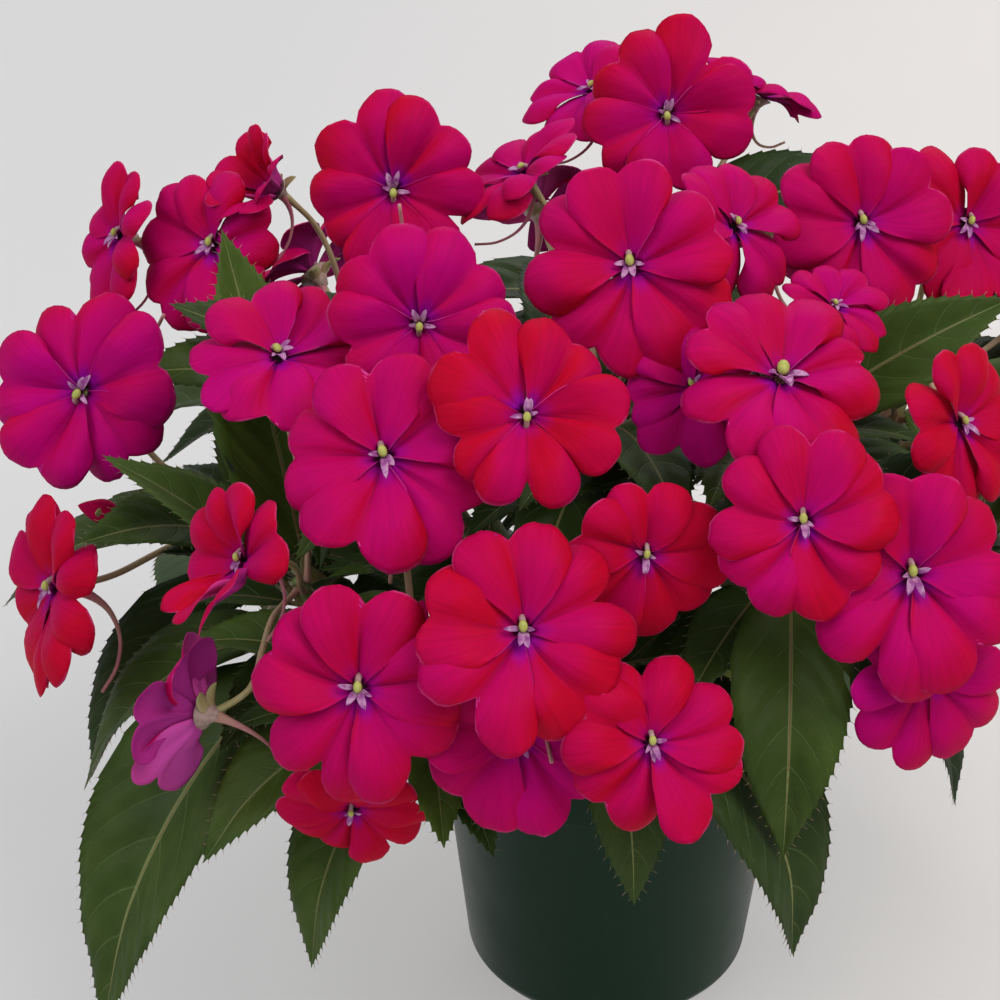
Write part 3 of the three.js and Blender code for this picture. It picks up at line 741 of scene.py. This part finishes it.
def measured_flower(node):
    """A flower's frame, diameter and stalk, measured on its node. The eye is the one corner with
    fifteen triangles round it and a flat ring of neighbours, the two furthest of which are the
    lowest lobes. The stalk is four rings of five corners behind it."""
    places, triangles = node_corners(node)
    uses = np.bincount(triangles.ravel())
    flattest = None
    for eye in np.flatnonzero(uses == EYE_CORNER_FACES):
        ring = np.setdiff1d(triangles[(triangles == eye).any(axis=1)].ravel(), [eye])
        centre = places[ring].mean(axis=0)
        _, sizes, ways = np.linalg.svd(places[ring] - centre)
        if len(ring) == EYE_CORNER_FACES and (flattest is None or sizes[2] < flattest[0]):
            flattest = sizes[2], eye, ring, ways[2] * np.sign((centre - places[eye]) @ ways[2])
    _, eye, ring, facing = flattest
    origin = places[eye] + EYE_DEPTH * facing
    reach = np.linalg.norm(places[ring] - origin, axis=1)
    lowest = np.argsort(reach)[-2:]
    up = unit(origin - places[ring[lowest]].mean(axis=0))
    diameter = reach[lowest].mean() / LOW_REACH
    rest = np.setdiff1d(np.arange(len(places)), np.append(ring, eye))
    away = places[rest] - origin
    depth = away @ facing
    aside = np.linalg.norm(away - depth[:, None] * facing, axis=1)
    tail = places[rest][(depth < -BEHIND_EYE) | (aside > OFF_AXIS)]
    near = np.linalg.norm(tail[:, None] - tail[None], axis=-1) < RING_REACH
    rings = near.argmax(axis=1)
    centres = [tail[rings == r].mean(axis=0) for r in np.unique(rings) if (rings == r).sum() == 5]
    line = [origin - 7 * facing]
    while centres:
        nearest = np.argmin([np.linalg.norm(c - line[-1]) for c in centres])
        line.append(centres.pop(nearest))
    return origin, np.stack([np.cross(up, facing), up, facing]), diameter, np.array(line)


def placed(local, origin, axes):
    """Points of a flower's own frame (right, up, forward) in the plant's frame."""
    return origin + local @ axes


def placed_parts(parts, origin, axes):
    """Mesh parts of a flower's own frame in the plant's frame."""
    return [(placed(points, origin, axes), faces, values) for points, faces, values in parts]


def petal_part(diameter, middle, over, under, fold, seed, tint, violet):
    """One petal. Its outline is two circles that cross at the notch, with straight sides to the
    eye, which bow outwards. Its surface is a shallow dish with a dome on each lobe, a crease
    between them, and sides that lie over or under its neighbours'. Fold bends it forward along
    its length, in degrees."""
    rng = np.random.default_rng(seed)
    u = np.linspace(-1, 1, PETAL_COLUMNS)[None, :]
    v = np.linspace(0, 1, PETAL_ROWS)[:, None] ** 0.9
    spread = LOBE_SPREAD * rng.uniform(0.80, 1.20)
    near, far = rng.uniform(0.84, 1.10, 2)
    puffed, creased = rng.uniform(0.5, 1.3), rng.uniform(0.05, 1.15)
    own = np.where(u < 0, near, far)
    lobe = LOBE_RADIUS * (own + ((near + far) / 2 - own) * np.exp(-((u / 0.12) ** 2)))
    centre = 1.02 * rng.uniform(0.93, 1.06) - lobe
    half_angle = spread + np.arcsin(lobe / centre)
    delta = half_angle * np.sign(u) * (1 - (1 - abs(u)) ** 1.3)
    off = abs(delta) - spread
    reach = centre * np.cos(off) + np.sqrt(np.clip(lobe**2 - (centre * np.sin(off)) ** 2, 0, 1))
    towards = radians(middle + rng.normal(0, 4.5))
    angle = towards + delta
    low = np.exp(-((np.degrees(angle) % 360 - 270) / 25) ** 2)
    radius = 0.48 * diameter * (1 - 0.04 * np.sin(angle) + 0.09 * low)
    ragged = 1 + 0.014 * lattice_noise(np.stack([delta * 9, delta * 0 + seed, delta * 0], -1), 1, 5)
    rim = radius * reach * ragged
    rho = PETAL_START + (1 - PETAL_START) * v
    distance = rim * rho
    slim = 0.80 + 0.20 * np.sin(0.5 * np.pi * np.clip(rho / 0.55, 0, 1))
    angle = towards + delta * slim + radians(rng.normal(0, 7)) * (1 - rho)
    s = delta / half_angle
    size = diameter / 50
    swollen = np.sin(np.pi * abs(s)) ** 0.9 * np.sin(np.pi * np.clip(v, 0, 1) ** 1.35) ** 0.9
    dome = DOME * puffed * size * swollen
    crease = -CREASE * creased * size * np.exp(-((s / 0.12) ** 2)) * np.sin(np.pi * v**0.75) ** 0.8
    ramp = np.clip((abs(s) - 0.15) / 0.75, 0, 1)
    ramp = ramp * ramp * (3 - 2 * ramp)
    lift = LAP * size * np.sqrt(v) * ramp * np.where(s > 0, over, under)
    dish = -DISH * size * (1 - rho) ** 2.3
    outer = np.clip((v - 0.55) / 0.45, 0, 1)
    droop = -DROOP * size * rng.uniform(0.5, 2.2) * outer**2 * (0.4 + 0.6 * abs(s))
    twist = np.tan(radians(rng.normal(0, 3))) * distance * np.sin(delta)
    at = np.stack(np.broadcast_arrays(distance * np.cos(angle), distance * np.sin(angle), 31.0 * seed), -1)
    wave = WAVE * size * v**2 * lattice_noise(at, 9 * size, 7)
    wave = wave + WRINKLE * size * v * lattice_noise(at, 3.2, 8)
    height = dish + dome + crease + lift + droop + wave + twist
    bend = radians(fold + rng.normal(0, 6)) * np.clip(v / 0.35, 0, 1) ** 1.2
    step = np.diff(distance, axis=0, prepend=distance[:1] * 0)
    outward = np.cumsum(step * np.cos(bend), axis=0) - height * np.sin(bend)
    forward = np.cumsum(step * np.sin(bend), axis=0) + height * np.cos(bend)
    front = np.stack([outward * np.cos(angle), outward * np.sin(angle), forward], -1)
    normal = unit(np.cross(np.gradient(front, axis=0), np.gradient(front, axis=1)))
    back = front - normal * (PETAL_THICKNESS * (1 - 0.5 * v**3))[..., None]
    # Painted light: the tint is pushed towards magenta where the petal faces up and to the flower's left,
    # and towards crimson where it faces away, as if lit from that side.
    light = normal @ unit([-0.75, 0.35, 0.5])
    lobes = rng.normal(0, 0.09, 2)
    lobe_tint = lobes.mean() + (lobes[1] - lobes[0]) / 2 * np.tanh(s * 4)
    shade = tint + lobe_tint + 0.45 * (light - 0.5) + 0.25 * (0.55 - rho)
    return shell(
        front, back, rho=rho + 0 * u, side=delta + 0 * v, tint=np.clip(shade, 0, 1),
        violet=violet, rim=v + 0 * u, petal=rng.random(),
    )


# Tint of each flower, from crimson to magenta
TINTS = (
    0.80, 0.55, 0.50, 0.40, 0.50, 0.55, 0.70, 0.48, 0.17, 0.40, 0.60, 0.50, 0.80, 0.70, 0.50, 0.42,
    0.25, 0.48, 0.78, 0.55, 0.08, 0.42, 0.48, 0.68, 0.08, 0.22, 0.60, 0.28, 0.40, 0.06, 0.30, 0.90,
    0.28, 0.45, 0.55, 0.35, 0.60, 0.45,
)
# How far each petal of a folded flower bends forward: top, upper left, lower left, lower right
# and upper right
FOLDS = {4: (50, 45, 40, 40, 48), 31: (0, 0, 62, 52, 0), 32: (0, 26, 40, 30, 0)}

petal_skin, n = new_material("petal_skin")
rho, side = n.value("rho"), n.value("side")
ray_spot = {
    "X": n.times(side, 22),
    "Y": n.times(rho, 1.6),
    "Z": n.times(n.value("petal"), 40),
}
rays = n.noise(1.0, 4, 0.6, at=n.add("CombineXYZ", ray_spot).outputs[0])
cloud = n.noise(75, 3, 0.5)
velvet = n.noise(4200, 2, 0.5)
cloudy_hue = n.times(n.math("SUBTRACT", cloud, 0.5), 0.25)
# The tint value holds each flower's own crimson-to-magenta colour together with the painted light from the
# way each part of a petal faces.
hue = n.math("ADD", n.value("tint"), cloudy_hue, clamp=True)
bright = n.mix(hue, (0.470, 0.0015, 0.0240, 1), (0.460, 0.0010, 0.1700, 1))
dusky = n.mix(hue, (0.370, 0.0010, 0.0180, 1), (0.360, 0.0008, 0.1300, 1))
face = n.mix(n.ramp(rays, 0.25, 0.70, 0.35, 1.0), dusky, bright)
# Painted shade: the face is darkened along the crease between the two lobes, most strongly towards the
# eye.
crease = n.ramp(n.math("ABSOLUTE", side), 0.0, 0.075, 1.0, 0.0)
face = n.mix(n.times(crease, n.ramp(rho, 0.2, 0.9, 0.45, 0.05)), face, (0.160, 0.0003, 0.040, 1))
glow = n.times(n.ramp(rho, 0.10, 0.32, 0.85, 0.0), n.value("violet"))
face = n.mix(glow, face, (0.230, 0.0040, 0.360, 1))
throat = n.ramp(rho, 0.07, 0.14, 1.0, 0.0)
face = n.mix(throat, face, (0.070, 0.0010, 0.040, 1))
# Painted highlight: pale pink in broken patches along the outermost rim of each petal, where light catches
# the edge.
patches = n.ramp(n.noise(160), 0.45, 0.65, 0.0, 0.4)
painted_rim_highlight = n.times(n.ramp(n.value("rim"), 0.972, 1.0), patches)
face = n.mix(painted_rim_highlight, face, (0.75, 0.10, 0.36, 1))
reverse = n.mix(hue, (0.600, 0.030, 0.180, 1), (0.640, 0.080, 0.420, 1))
reverse = n.mix(n.ramp(n.value("petal"), 0.35, 0.85, 0.0, 0.7), reverse, (0.260, 0.0040, 0.150, 1))
relief = n.math("ADD", n.times(rays, 0.7), n.times(velvet, 0.35))
n.shade(
    Base_Color=n.mix(n.value("back"), face, reverse),
    Roughness=n.ramp(cloud, 0.3, 0.7, 0.55, 0.7),
    Specular_IOR_Level=0.035,
    Sheen_Weight=0.02,
    Sheen_Roughness=0.4,
    Sheen_Tint=(1.0, 0.05, 0.4, 1),
    Normal=n.bump(relief, 0.00012, 0.6),
)
BLOOMS = {}
for number, tint in enumerate(TINTS, 1):
    name = f"flower_{number:02d}"
    folds = FOLDS.get(number, (0,) * len(PETAL_MIDDLES))
    origin, axes, diameter, line = BLOOMS[number] = measured_flower(name)
    rng = np.random.default_rng(500 + number)
    lower_over = rng.choice([-1, 1])
    over = (1, 1, lower_over, -1, -1)
    parts = []
    for k, middle in enumerate(PETAL_MIDDLES):
        violet = VIOLET_SHARES[k] * rng.uniform(0.6, 1)
        seed = 1000 + 10 * number + k
        sides = over[k], -over[k - 1]
        parts.append(petal_part(diameter, middle, *sides, folds[k], seed, tint, violet))
    parts = placed_parts(parts, origin, axes)
    make_piece(f"petals_{number:02d}", parts, petal_skin, [name])

# Hearts
# In the middle of each flower a short pale column arches over a dark throat. It ends in a
# greenish yellow cap, with four little lilac blades spread below it.
HEART_BLADES = (
    # way it points in degrees, length, width, and how far it stands forward at its end
    (-150, 3.2, 1.1, 1.5), (-108, 4.9, 1.9, 2.2), (-70, 5.3, 1.7, 2.4), (4, 4.2, 1.3, 1.3),
)
LARGE_HEARTS = {18: 1.5}  # one flower that shows more of its heart than the rest
CAP = {"at": np.array([0, 1.0, -1.0]), "size": np.array([1.05, 1.45, 1.05])}
FORWARD = np.array([0, 0, 1.0])
THROAT = [
    # radius, place along the flower's axis, and how pale it is
    (0, -10.4, 1), (1.4, -10.2, 1), (2.3, -8.4, 1), (3.5, -6.4, 1), (5.2, -4.9, 1), (4.9, -4.4, 0.2),
    (2.2, -4.9, 0), (1.2, -6.6, 0), (0, -7.2, 0),
]


def lance_blade(foot, end, width, up, thickness, rows=8, columns=5, **values):
    """A small pointed blade from its foot to its end, as a closed shell. Its half width is the
    square root of sin(pi t to the 0.8), and it is a little hollow across."""
    t = np.linspace(0, 1, rows)[:, None]
    u = np.linspace(-1, 1, columns)[None, :]
    along = end - foot
    side = unit(np.cross(up, along))
    out = unit(np.cross(along, side))
    half = 0.5 * width * np.sqrt(np.clip(np.sin(np.pi * t**0.8), 0, 1)) + 0.02
    hollow = 0.35 * half * u * u + 0.12 * np.linalg.norm(along) * np.sin(np.pi * t)
    front = foot + t[..., None] * along + (half * u)[..., None] * side + hollow[..., None] * out
    return shell(front, front - out * thickness, **values)


def heart_parts(size, seed):
    """The throat in its pale hollow sepal, the column with its cap, and the four blades, in the
    flower's own frame."""
    rng = np.random.default_rng(seed)
    flip = rng.choice([-1, 1])
    profile = np.array(THROAT, float)
    pale = profile[:, 2:]
    funnel = turned(profile[:, :2], 20) * size
    parts = [surface(funnel, True, cap=0.45 * pale, blade=pale, back=0.0)]
    neck = np.array([(0, 3.2, -4.6), (0, 3.0, -3.0), (0, 2.3, -1.8), (0, 1.4, -1.2)], float) * size
    neck_line = path_through(neck, 9)
    parts.append(tube(neck_line, 0.75 * size, 8, np.array([1.0, 0, 0]), cap=0.35, blade=1, back=0))
    cap = (CAP["at"] + unit_ball(9, 12) * CAP["size"]) * size
    parts.append(surface(cap, True, cap=1, blade=0, back=0))
    for way, length, width, forward in HEART_BLADES:
        turn = radians(way + rng.normal(0, 13))
        out = np.array([np.cos(turn) * flip, np.sin(turn), 0])
        foot = (out * 0.7 + (0, 0.5, -2.3)) * size
        long = length * rng.uniform(0.75, 1.15)
        end = (out * long + (0, 0.5, (forward + rng.uniform(-0.8, 0.8)) - 2.0)) * size
        parts.append(lance_blade(foot, end, width * size, FORWARD, 0.22 * size, cap=0.0, blade=1.0))
    return parts


heart_skin, n = new_material("heart_skin")
pale_blade = n.mix(n.ramp(n.noise(500, 3), 0.35, 0.65), (0.27, 0.050, 0.24, 1), (0.50, 0.25, 0.44, 1))
yellow_cap = n.mix(n.noise(900, 3), (0.26, 0.30, 0.035, 1), (0.55, 0.55, 0.17, 1))
colour = n.mix(n.value("blade"), (0.030, 0.0006, 0.012, 1), pale_blade)
n.shade(
    Base_Color=n.mix(n.value("cap"), colour, yellow_cap),
    Roughness=0.5,
    Specular_IOR_Level=0.3,
    Normal=n.bump(n.noise(1800, 3), 0.0001, 0.6),
)
for number, (origin, axes, diameter, line) in BLOOMS.items():
    size = diameter / 52 * LARGE_HEARTS.get(number, 1)
    parts = placed_parts(heart_parts(size, 700 + number), origin, axes)
    make_piece(f"heart_{number:02d}", parts, heart_skin)

# Flower stalks
# A slim juicy stalk carries each flower from its shoot. Behind the petals stand two small green
# sepals and the third, a pink hollow one drawn out into a long curved spur.
SPUR = [
    (0, -0.6, -8.0), (0.3, -2.2, -12), (0.8, -7.0, -17.5), (1.4, -15, -20.5), (1.8, -24, -19.5),
    (2.0, -31, -15.5),
]
SEPALS = ((52, 9.5, 4.6), (128, 9.5, 4.6))


def stalk_parts(size, line, origin, axes, seed):
    """The stalk along its measured line and on into the shoot, the spur, and two sepals."""
    rng = np.random.default_rng(seed)
    last = line[-1] + unit(line[-1] - line[-2]) * 2.6
    path = path_through(np.concatenate([line, [last]]), 30)
    t = np.linspace(0, 1, 30)
    radius = 0.95 + 0.35 * np.exp(-((t / 0.07) ** 2)) + 0.35 * np.exp(-(((t - 1) / 0.08) ** 2))
    chord = line[-1] - line[0]
    beside = np.cross(chord, line[1] - line[0]) + 1e-6 * np.array([1.0, 2.0, 3.0])
    parts = [tube(path, radius * (0.8 + 0.2 * size), 8, unit(beside), flush=0.25 + 0.5 * t)]
    spur = np.array(SPUR, float) * size
    spur = spur @ turned_about(radians(rng.normal(0, 16)))
    spur_line = path_through(spur * (1, rng.uniform(0.75, 1.1), 1), 20)
    t = np.linspace(0, 1, 20)
    spur_radius = size * (0.50 + 1.7 * (1 - t) ** 4)
    own = [tube(spur_line, spur_radius, 8, np.array([1.0, 0.1, 0]), flush=1.3 - 0.4 * t)]
    for way, length, width in SEPALS:
        turned_by = radians(way + rng.normal(0, 8))
        out = np.array([np.cos(turned_by), np.sin(turned_by), 0])
        foot = (out * 0.8 + (0, 0, -8.2)) * size
        end = (out * length + (0, 0, -7.2)) * size
        paling = np.linspace(0.6, 0.1, 9)[:, None]
        own.append(lance_blade(foot, end, width * size, FORWARD, 0.3 * size, 9, 7, flush=paling))
    return parts + placed_parts(own, origin, axes)


stalk_skin = juicy_material(
    "stalk_skin", (0.210, 0.240, 0.060, 1), (0.420, 0.430, 0.170, 1), (0.52, 0.130, 0.210, 1), 0.45
)
for number, (origin, axes, diameter, line) in BLOOMS.items():
    parts = stalk_parts(diameter / 52, line, origin, axes, 800 + number)
    make_piece(f"stalk_{number:02d}", parts, stalk_skin)

# Young and lower leaves
# At the top of each shoot sits a tuft of small upright leaves, paler than the rest. Lower down,
# older leaves stand out from the stems and droop, wherever there is room for them.
TURN_OF_LEAVES = 137.5
TUFT = {"count": 5, "lengths": (13, 34), "rises": (78, 46)}
LOWER_PLACES = (0.46, 0.62, 0.78, 0.54, 0.70, 0.88)
LOWER_BACK = {"length": (52, 84), "rise": (-20, 16), "bend": (30, 62)}
LOWER_FRONT = {"length": (38, 60), "rise": (6, 36), "bend": (14, 40)}
LEAF_SLIMNESS = 0.36


def heading(azimuth, elevation):
    """The way that an azimuth (0 towards the viewer) and an elevation point, in degrees."""
    a, e = np.radians(azimuth), np.radians(elevation)
    return np.stack([np.sin(a) * np.cos(e), -np.cos(a) * np.cos(e), np.sin(e) + 0 * a], -1)


def grown_leaf(foot, azimuth, rise, length, bend, roll, width):
    """A leaf as measured_leaves gives one. It leaves its foot at the rise, and has bent down by
    the bend times the share of its length to the power 1.4."""
    share = np.linspace(0, 1, 61)
    ways = heading(azimuth + 0 * share, rise - bend * share**1.4)
    line = foot + np.concatenate([[[0, 0, 0]], np.cumsum(ways[1:], axis=0)]) * length / 60
    midrib = np.stack([np.interp(LEAF_SHARES, share, line[:, k]) for k in range(3)], -1)
    along = heading(azimuth + 0 * LEAF_SHARES, rise - bend * LEAF_SHARES**1.4)
    level = heading(azimuth + 90 + 0 * LEAF_SHARES, 0 * LEAF_SHARES)
    lifted = np.cross(along, level)
    across = level * np.cos(radians(roll)) + lifted * np.sin(radians(roll))
    return midrib, across, width, length


def tree_of(points, faces):
    """A mesh part as a tree that can tell whether it meets another."""
    return BVHTree.FromPolygons(points.tolist(), faces.tolist())


def pieces_tree(beginnings):
    """One tree of all the pieces whose names have one of the beginnings, in millimetres."""
    points, faces, start = [], [], 0
    for thing in bpy.context.scene.objects:
        if not thing.name.startswith(beginnings):
            continue
        mesh = thing.data
        places = np.empty(len(mesh.vertices) * 3, np.float32)
        mesh.vertices.foreach_get("co", places)
        mesh.calc_loop_triangles()
        corners = np.empty(len(mesh.loop_triangles) * 3, np.int32)
        mesh.loop_triangles.foreach_get("vertices", corners)
        points.append(places.reshape(-1, 3) / MM)
        faces.append(corners.reshape(-1, 3) + start)
        start += len(mesh.vertices)
    return tree_of(np.concatenate(points), np.concatenate(faces))


def leaf_with_room(trees, tries, foot, tone, seed, curl=0.0):
    """The first of the tries, each a leaf's azimuth, rise, length, bend and roll, whose blade
    meets nothing that is already there, or no leaf at all."""
    for azimuth, rise, length, bend, roll in tries:
        form = grown_leaf(foot, azimuth, rise, length, bend, roll, LEAF_SLIMNESS * length)
        parts = leaf_parts(*form, foot - heading(azimuth, rise) * 2.0, tone, seed, curl)
        blade = tree_of(parts[0][0], parts[0][1])
        low = parts[0][0][:, 2].min()
        if low > 3 and not any(blade.overlap(tree) for tree in trees):
            trees.append(blade)
            return parts
    return []


standing = [pieces_tree(("petals", "heart", "stalk", "foliage", "pot_", "mix_"))]
for index, (stem, (root, tips)) in enumerate(SHOOTS.items()):
    for shoot, tip in tips.items():
        rng = np.random.default_rng(300 + len(shoot) + index)
        path, axis = shoot_path(root, tip), shoot_axis(tip)
        young, lower = [], []
        start = rng.uniform(0, 360)
        for i in range(TUFT["count"]):
            share = i / (TUFT["count"] - 1)
            foot = np.array(tip, float) - axis * (1.5 + 5.5 * share)
            length = np.interp(share, [0, 1], TUFT["lengths"]) * rng.uniform(0.85, 1.15)
            rise = np.interp(share, [0, 1], TUFT["rises"])
            tries = [
                (start + TURN_OF_LEAVES * i + turn, rise, length * shrink, 25, 0)
                for shrink in (1, 0.75, 0.5) for turn in (0, 18, -18, 36, -36)
            ]
            seed = 100 * index + 10 * len(shoot) + i
            young += leaf_with_room(standing, tries, foot, 0.75, 3000 + seed)
        outward = np.degrees(np.arctan2(path[-1][0] - path[0][0], -(path[-1][1] - path[0][1])))
        ranges = LOWER_BACK if tip[1] > 20 else LOWER_FRONT
        for i, place in enumerate(LOWER_PLACES):
            row = int(place * (len(path) - 1))
            onward = path[row + 1] - path[row]
            length, rise, bend = (rng.uniform(*ranges[k]) for k in ("length", "rise", "bend"))
            side = outward + (-1) ** (i + index) * rng.uniform(25, 80)
            away = unit(np.cross(np.cross(onward, heading(side, 0)), onward))
            foot = path[row] + away * SHOOT_RADIUS * 0.9
            tries = [
                (side + turn, rise + lift, length * shrink, bend, 0)
                for shrink in (1, 0.8, 0.62)
                for lift in (0, -14, 14)
                for turn in (0, 20, -20, 40, -40, 65, -65)
            ]
            seed = 100 * index + 10 * len(shoot) + i
            lower += leaf_with_room(standing, tries, foot, 0.35, 4000 + seed)
        if young:
            make_piece("young_" + shoot, young, leaf_skin)
        if lower:
            make_piece("lower_" + shoot, lower, leaf_skin)

# Buds
# Among the leaves of a few shoots stand flower buds of the coming days: a smooth teardrop of
# rolled petals held by two small green sepals, with a short spur behind, on a thin stalk.
BUDS = {
    # shoot: for each bud its azimuth, its rise, how far it reaches from the shoot's tip, and size
    "left": ((-90, 2, 43, 0.95), (-180, 60, 17, 0.9)),
    "top_left": ((-78, 10, 27, 1.15), (20, 58, 16, 0.7)),
    "left_back": ((-20, 30, 20, 1.0),),
    "front_left": ((150, 60, 16, 0.7),),
    "front_right": ((-70, 62, 17, 0.75), (170, 50, 18, 0.9)),
    "top_right": ((120, 52, 17, 0.8),),
    "right": ((30, 50, 20, 0.9), (160, 40, 18, 0.8)),
    "back": ((200, 46, 20, 0.95), (120, 60, 14, 0.7)),
    "back_left": ((240, 44, 20, 0.9),),
    "right_back": ((130, 50, 19, 0.9),),
    "top_back": ((190, 56, 18, 0.85),),
}


def bud_parts(foot, tip, out, size, seed):
    """A bud's rolled petals as a turned teardrop with spiral furrows, in parts for the petals'
    material, and its stalk, spur and sepals, in parts for the stalks'."""
    rng = np.random.default_rng(seed)
    side = unit(np.cross(out, (0.2, 0.1, 1)))
    frame_axes = np.stack([side, np.cross(out, side), out])
    v = np.linspace(0, 1, 18)[:, None]
    u = np.linspace(0, 2 * np.pi, 20, endpoint=False)[None, :]
    radius = 4.6 * size * np.sin(np.pi * v**0.85) ** 0.75 * (1 - 0.28 * v)
    radius = radius * (1 - 0.10 * abs(np.cos(1.5 * u + 2.4 * v)) ** 6)
    local = np.stack([radius * np.cos(u), radius * np.sin(u), (13.5 * v - 3.0) * size + 0 * u], -1)
    petals = surface(
        placed(local, tip, frame_axes), True, rho=0.35 + 0.5 * v, side=np.sin(1.5 * u) + 0 * v,
        tint=rng.uniform(0.3, 0.8), violet=0.0, rim=0.5, petal=rng.random(), back=0.0,
    )
    middle = foot * 0.55 + tip * 0.45 + (0, 0, 3)
    path = path_through([foot - out * 1.5, middle, tip - out * 6, tip - out * 2.5 * size], 20)
    t = np.linspace(0, 1, 20)
    green = [tube(path, 0.75 * (1 + 0.4 * t**6), 8, side + 0.01, flush=0.2 + 0.6 * t)]
    spur = np.array([(0, 0, -2.2), (0, -1.5, -5), (0, -5, -9), (0, -11, -11)]) * size
    t = np.linspace(0, 1, 14)
    spur_line = placed(path_through(spur, 14), tip, frame_axes)
    green.append(tube(spur_line, size * (0.4 + 1.1 * (1 - t) ** 2), 8, side, flush=0.8 - 0.3 * t))
    sepals = []
    for way in (0.3, 3.4):
        ahead = np.array([np.cos(way), np.sin(way), 0]) * size
        foot, end = ahead * 1.2 - (0, 0, 2.6 * size), ahead * 5.2 + (0, 0, 4.6 * size)
        paling = np.linspace(0.35, 0.05, 9)[:, None]
        sepals.append(lance_blade(foot, end, 4.2 * size, FORWARD, 0.35 * size, 9, 7, flush=paling))
    return petals, green + placed_parts(sepals, tip, frame_axes)


for index, (shoot, rows) in enumerate(BUDS.items()):
    for number, (azimuth, rise, reach, size) in enumerate(rows):
        out = heading(azimuth, rise)
        foot = TIPS[shoot] - shoot_axis(TIPS[shoot]) * (2.5 + 2 * number)
        tip, facing = foot + out * reach, unit(out + (0, 0, 0.25))
        petals, green = bud_parts(foot, tip, facing, size, 900 + 10 * index + number)
        make_piece(f"bud_{shoot}_{number + 1}", [petals], petal_skin)
        make_piece(f"bud_stalk_{shoot}_{number + 1}", green, stalk_skin)

# Dried leaves
# A few old leaves have dried on the plant. They are grey-green to tan, rolled in along the
# midrib, twisted and brittle, and still hang from their stems.
DRIED = [
    # shoot, how far along it, then azimuth, rise, length, bend and roll
    ("front_right", 0.80, 110, -50, 84, 14, 60), ("front_left", 0.90, 150, 55, 46, 10, 70),
    ("front_right", 0.90, -62, -36, 30, 30, 80), ("back", 0.7, 170, -50, 55, 25, 50),
    ("left", 0.72, -140, -40, 48, 30, 60),
]

dried_skin, n = new_material("dried_leaf_skin")
crumpled = n.noise(180, 5, 0.6)
faded = n.mix(n.ramp(n.noise(60, 4), 0.35, 0.65), (0.105, 0.125, 0.070, 1), (0.270, 0.215, 0.140, 1))
brown = n.mix(n.ramp(crumpled, 0.42, 0.68), faded, (0.085, 0.055, 0.035, 1))
dry_rib = n.ramp(n.math("ABSOLUTE", n.value("across")), 0.02, 0.09, 0.8, 0.0)
n.shade(
    Base_Color=n.mix(dry_rib, brown, (0.36, 0.31, 0.21, 1)),
    Roughness=0.85,
    Specular_IOR_Level=0.15,
    Normal=n.bump(crumpled, 0.0008, 0.9),
)
for number, (shoot, place, azimuth, rise, length, bend, roll) in enumerate(DRIED):
    root = next(root for root, tips in SHOOTS.values() if shoot in tips)
    path = shoot_path(root, TIPS[shoot])
    foot = path[int(place * (len(path) - 1))] + heading(azimuth, 0) * SHOOT_RADIUS * 0.8
    form = grown_leaf(foot, azimuth, rise, length, bend, roll, 0.34 * length)
    parts = leaf_parts(*form, foot - heading(azimuth, rise) * 2, 0.5, 5000 + number, 1.0)
    make_piece(f"dried_leaf_{number + 1}", parts, dried_skin)

# Studio
# A floor of pale paper that shines a little and glows a little as painted light, painted lighter
# and warmer towards the right, a large soft light from the right, a weaker one from the left, one
# behind, and a camera that looks down at thirty degrees.
VIEW = {"place": (-0.0348, -0.6372, 0.5409), "tilt": 59.5, "lens": 90}

paper, n = new_material("pale_paper")
# Painted light: the paper is painted lighter and warmer towards the right, where the key light stands, and
# it glows by emission as painted light that brightens the shade under the plant.
to_the_right = n.add("SeparateXYZ", {0: n.spots()}).outputs["X"]
lit_paper = n.mix(n.ramp(to_the_right, -0.25, 0.40), (0.315, 0.316, 0.320, 1), (0.430, 0.400, 0.380, 1))
n.shade(
    Base_Color=n.mix(n.ramp(n.noise(3, 2), 0.3, 0.7, 0.0, 0.3), lit_paper, (0.33, 0.33, 0.33, 1)),
    Roughness=0.9,
    Specular_IOR_Level=0.1,
    Emission_Color=(1.0, 0.975, 0.965, 1),
    Emission_Strength=0.345,
)
floor_mesh = bpy.data.meshes.new("floor")
floor_mesh.from_pydata([(-6, -6, 0), (6, -6, 0), (6, 6, 0), (-6, 6, 0)], [], [(0, 1, 2, 3)])
floor_mesh.materials.append(paper)
floor = bpy.data.objects.new("floor", floor_mesh)
bpy.context.scene.collection.objects.link(floor)


def soft_light(name, place, target, size, power, colour):
    """A square area light that faces its target."""
    data = bpy.data.lights.new(name, "AREA")
    data.shape, data.size, data.energy, data.color = "SQUARE", size, power, colour
    lamp = bpy.data.objects.new(name, data)
    lamp.location = place
    lamp.rotation_euler = (Vector(target) - Vector(place)).to_track_quat("-Z", "Y").to_euler()
    bpy.context.scene.collection.objects.link(lamp)


soft_light("key", (0.9, -0.7, 2.0), (0, 0, 0.15), 1.3, 29, (1.0, 0.955, 0.90))
soft_light("fill", (-1.5, -0.6, 1.5), (0, 0, 0.15), 1.3, 12, (0.95, 0.97, 1.0))
soft_light("back", (0.2, 1.9, 1.7), (0, 0, 0.15), 1.5, 14, (1.0, 1.0, 1.0))
world = bpy.data.worlds.new("studio")
world.use_nodes = True
sky = world.node_tree.nodes["Background"].inputs
sky["Color"].default_value = (0.9, 0.92, 0.95, 1)
sky["Strength"].default_value = 0.55
bpy.context.scene.world = world
bpy.context.scene.view_settings.view_transform = "Standard"

camera_data = bpy.data.cameras.new("camera")
camera_data.lens, camera_data.sensor_width = VIEW["lens"], 36
camera = bpy.data.objects.new("camera", camera_data)
camera.location = VIEW["place"]
camera.rotation_euler = (radians(VIEW["tilt"]), 0, 0)
bpy.context.scene.collection.objects.link(camera)
bpy.context.scene.camera = camera
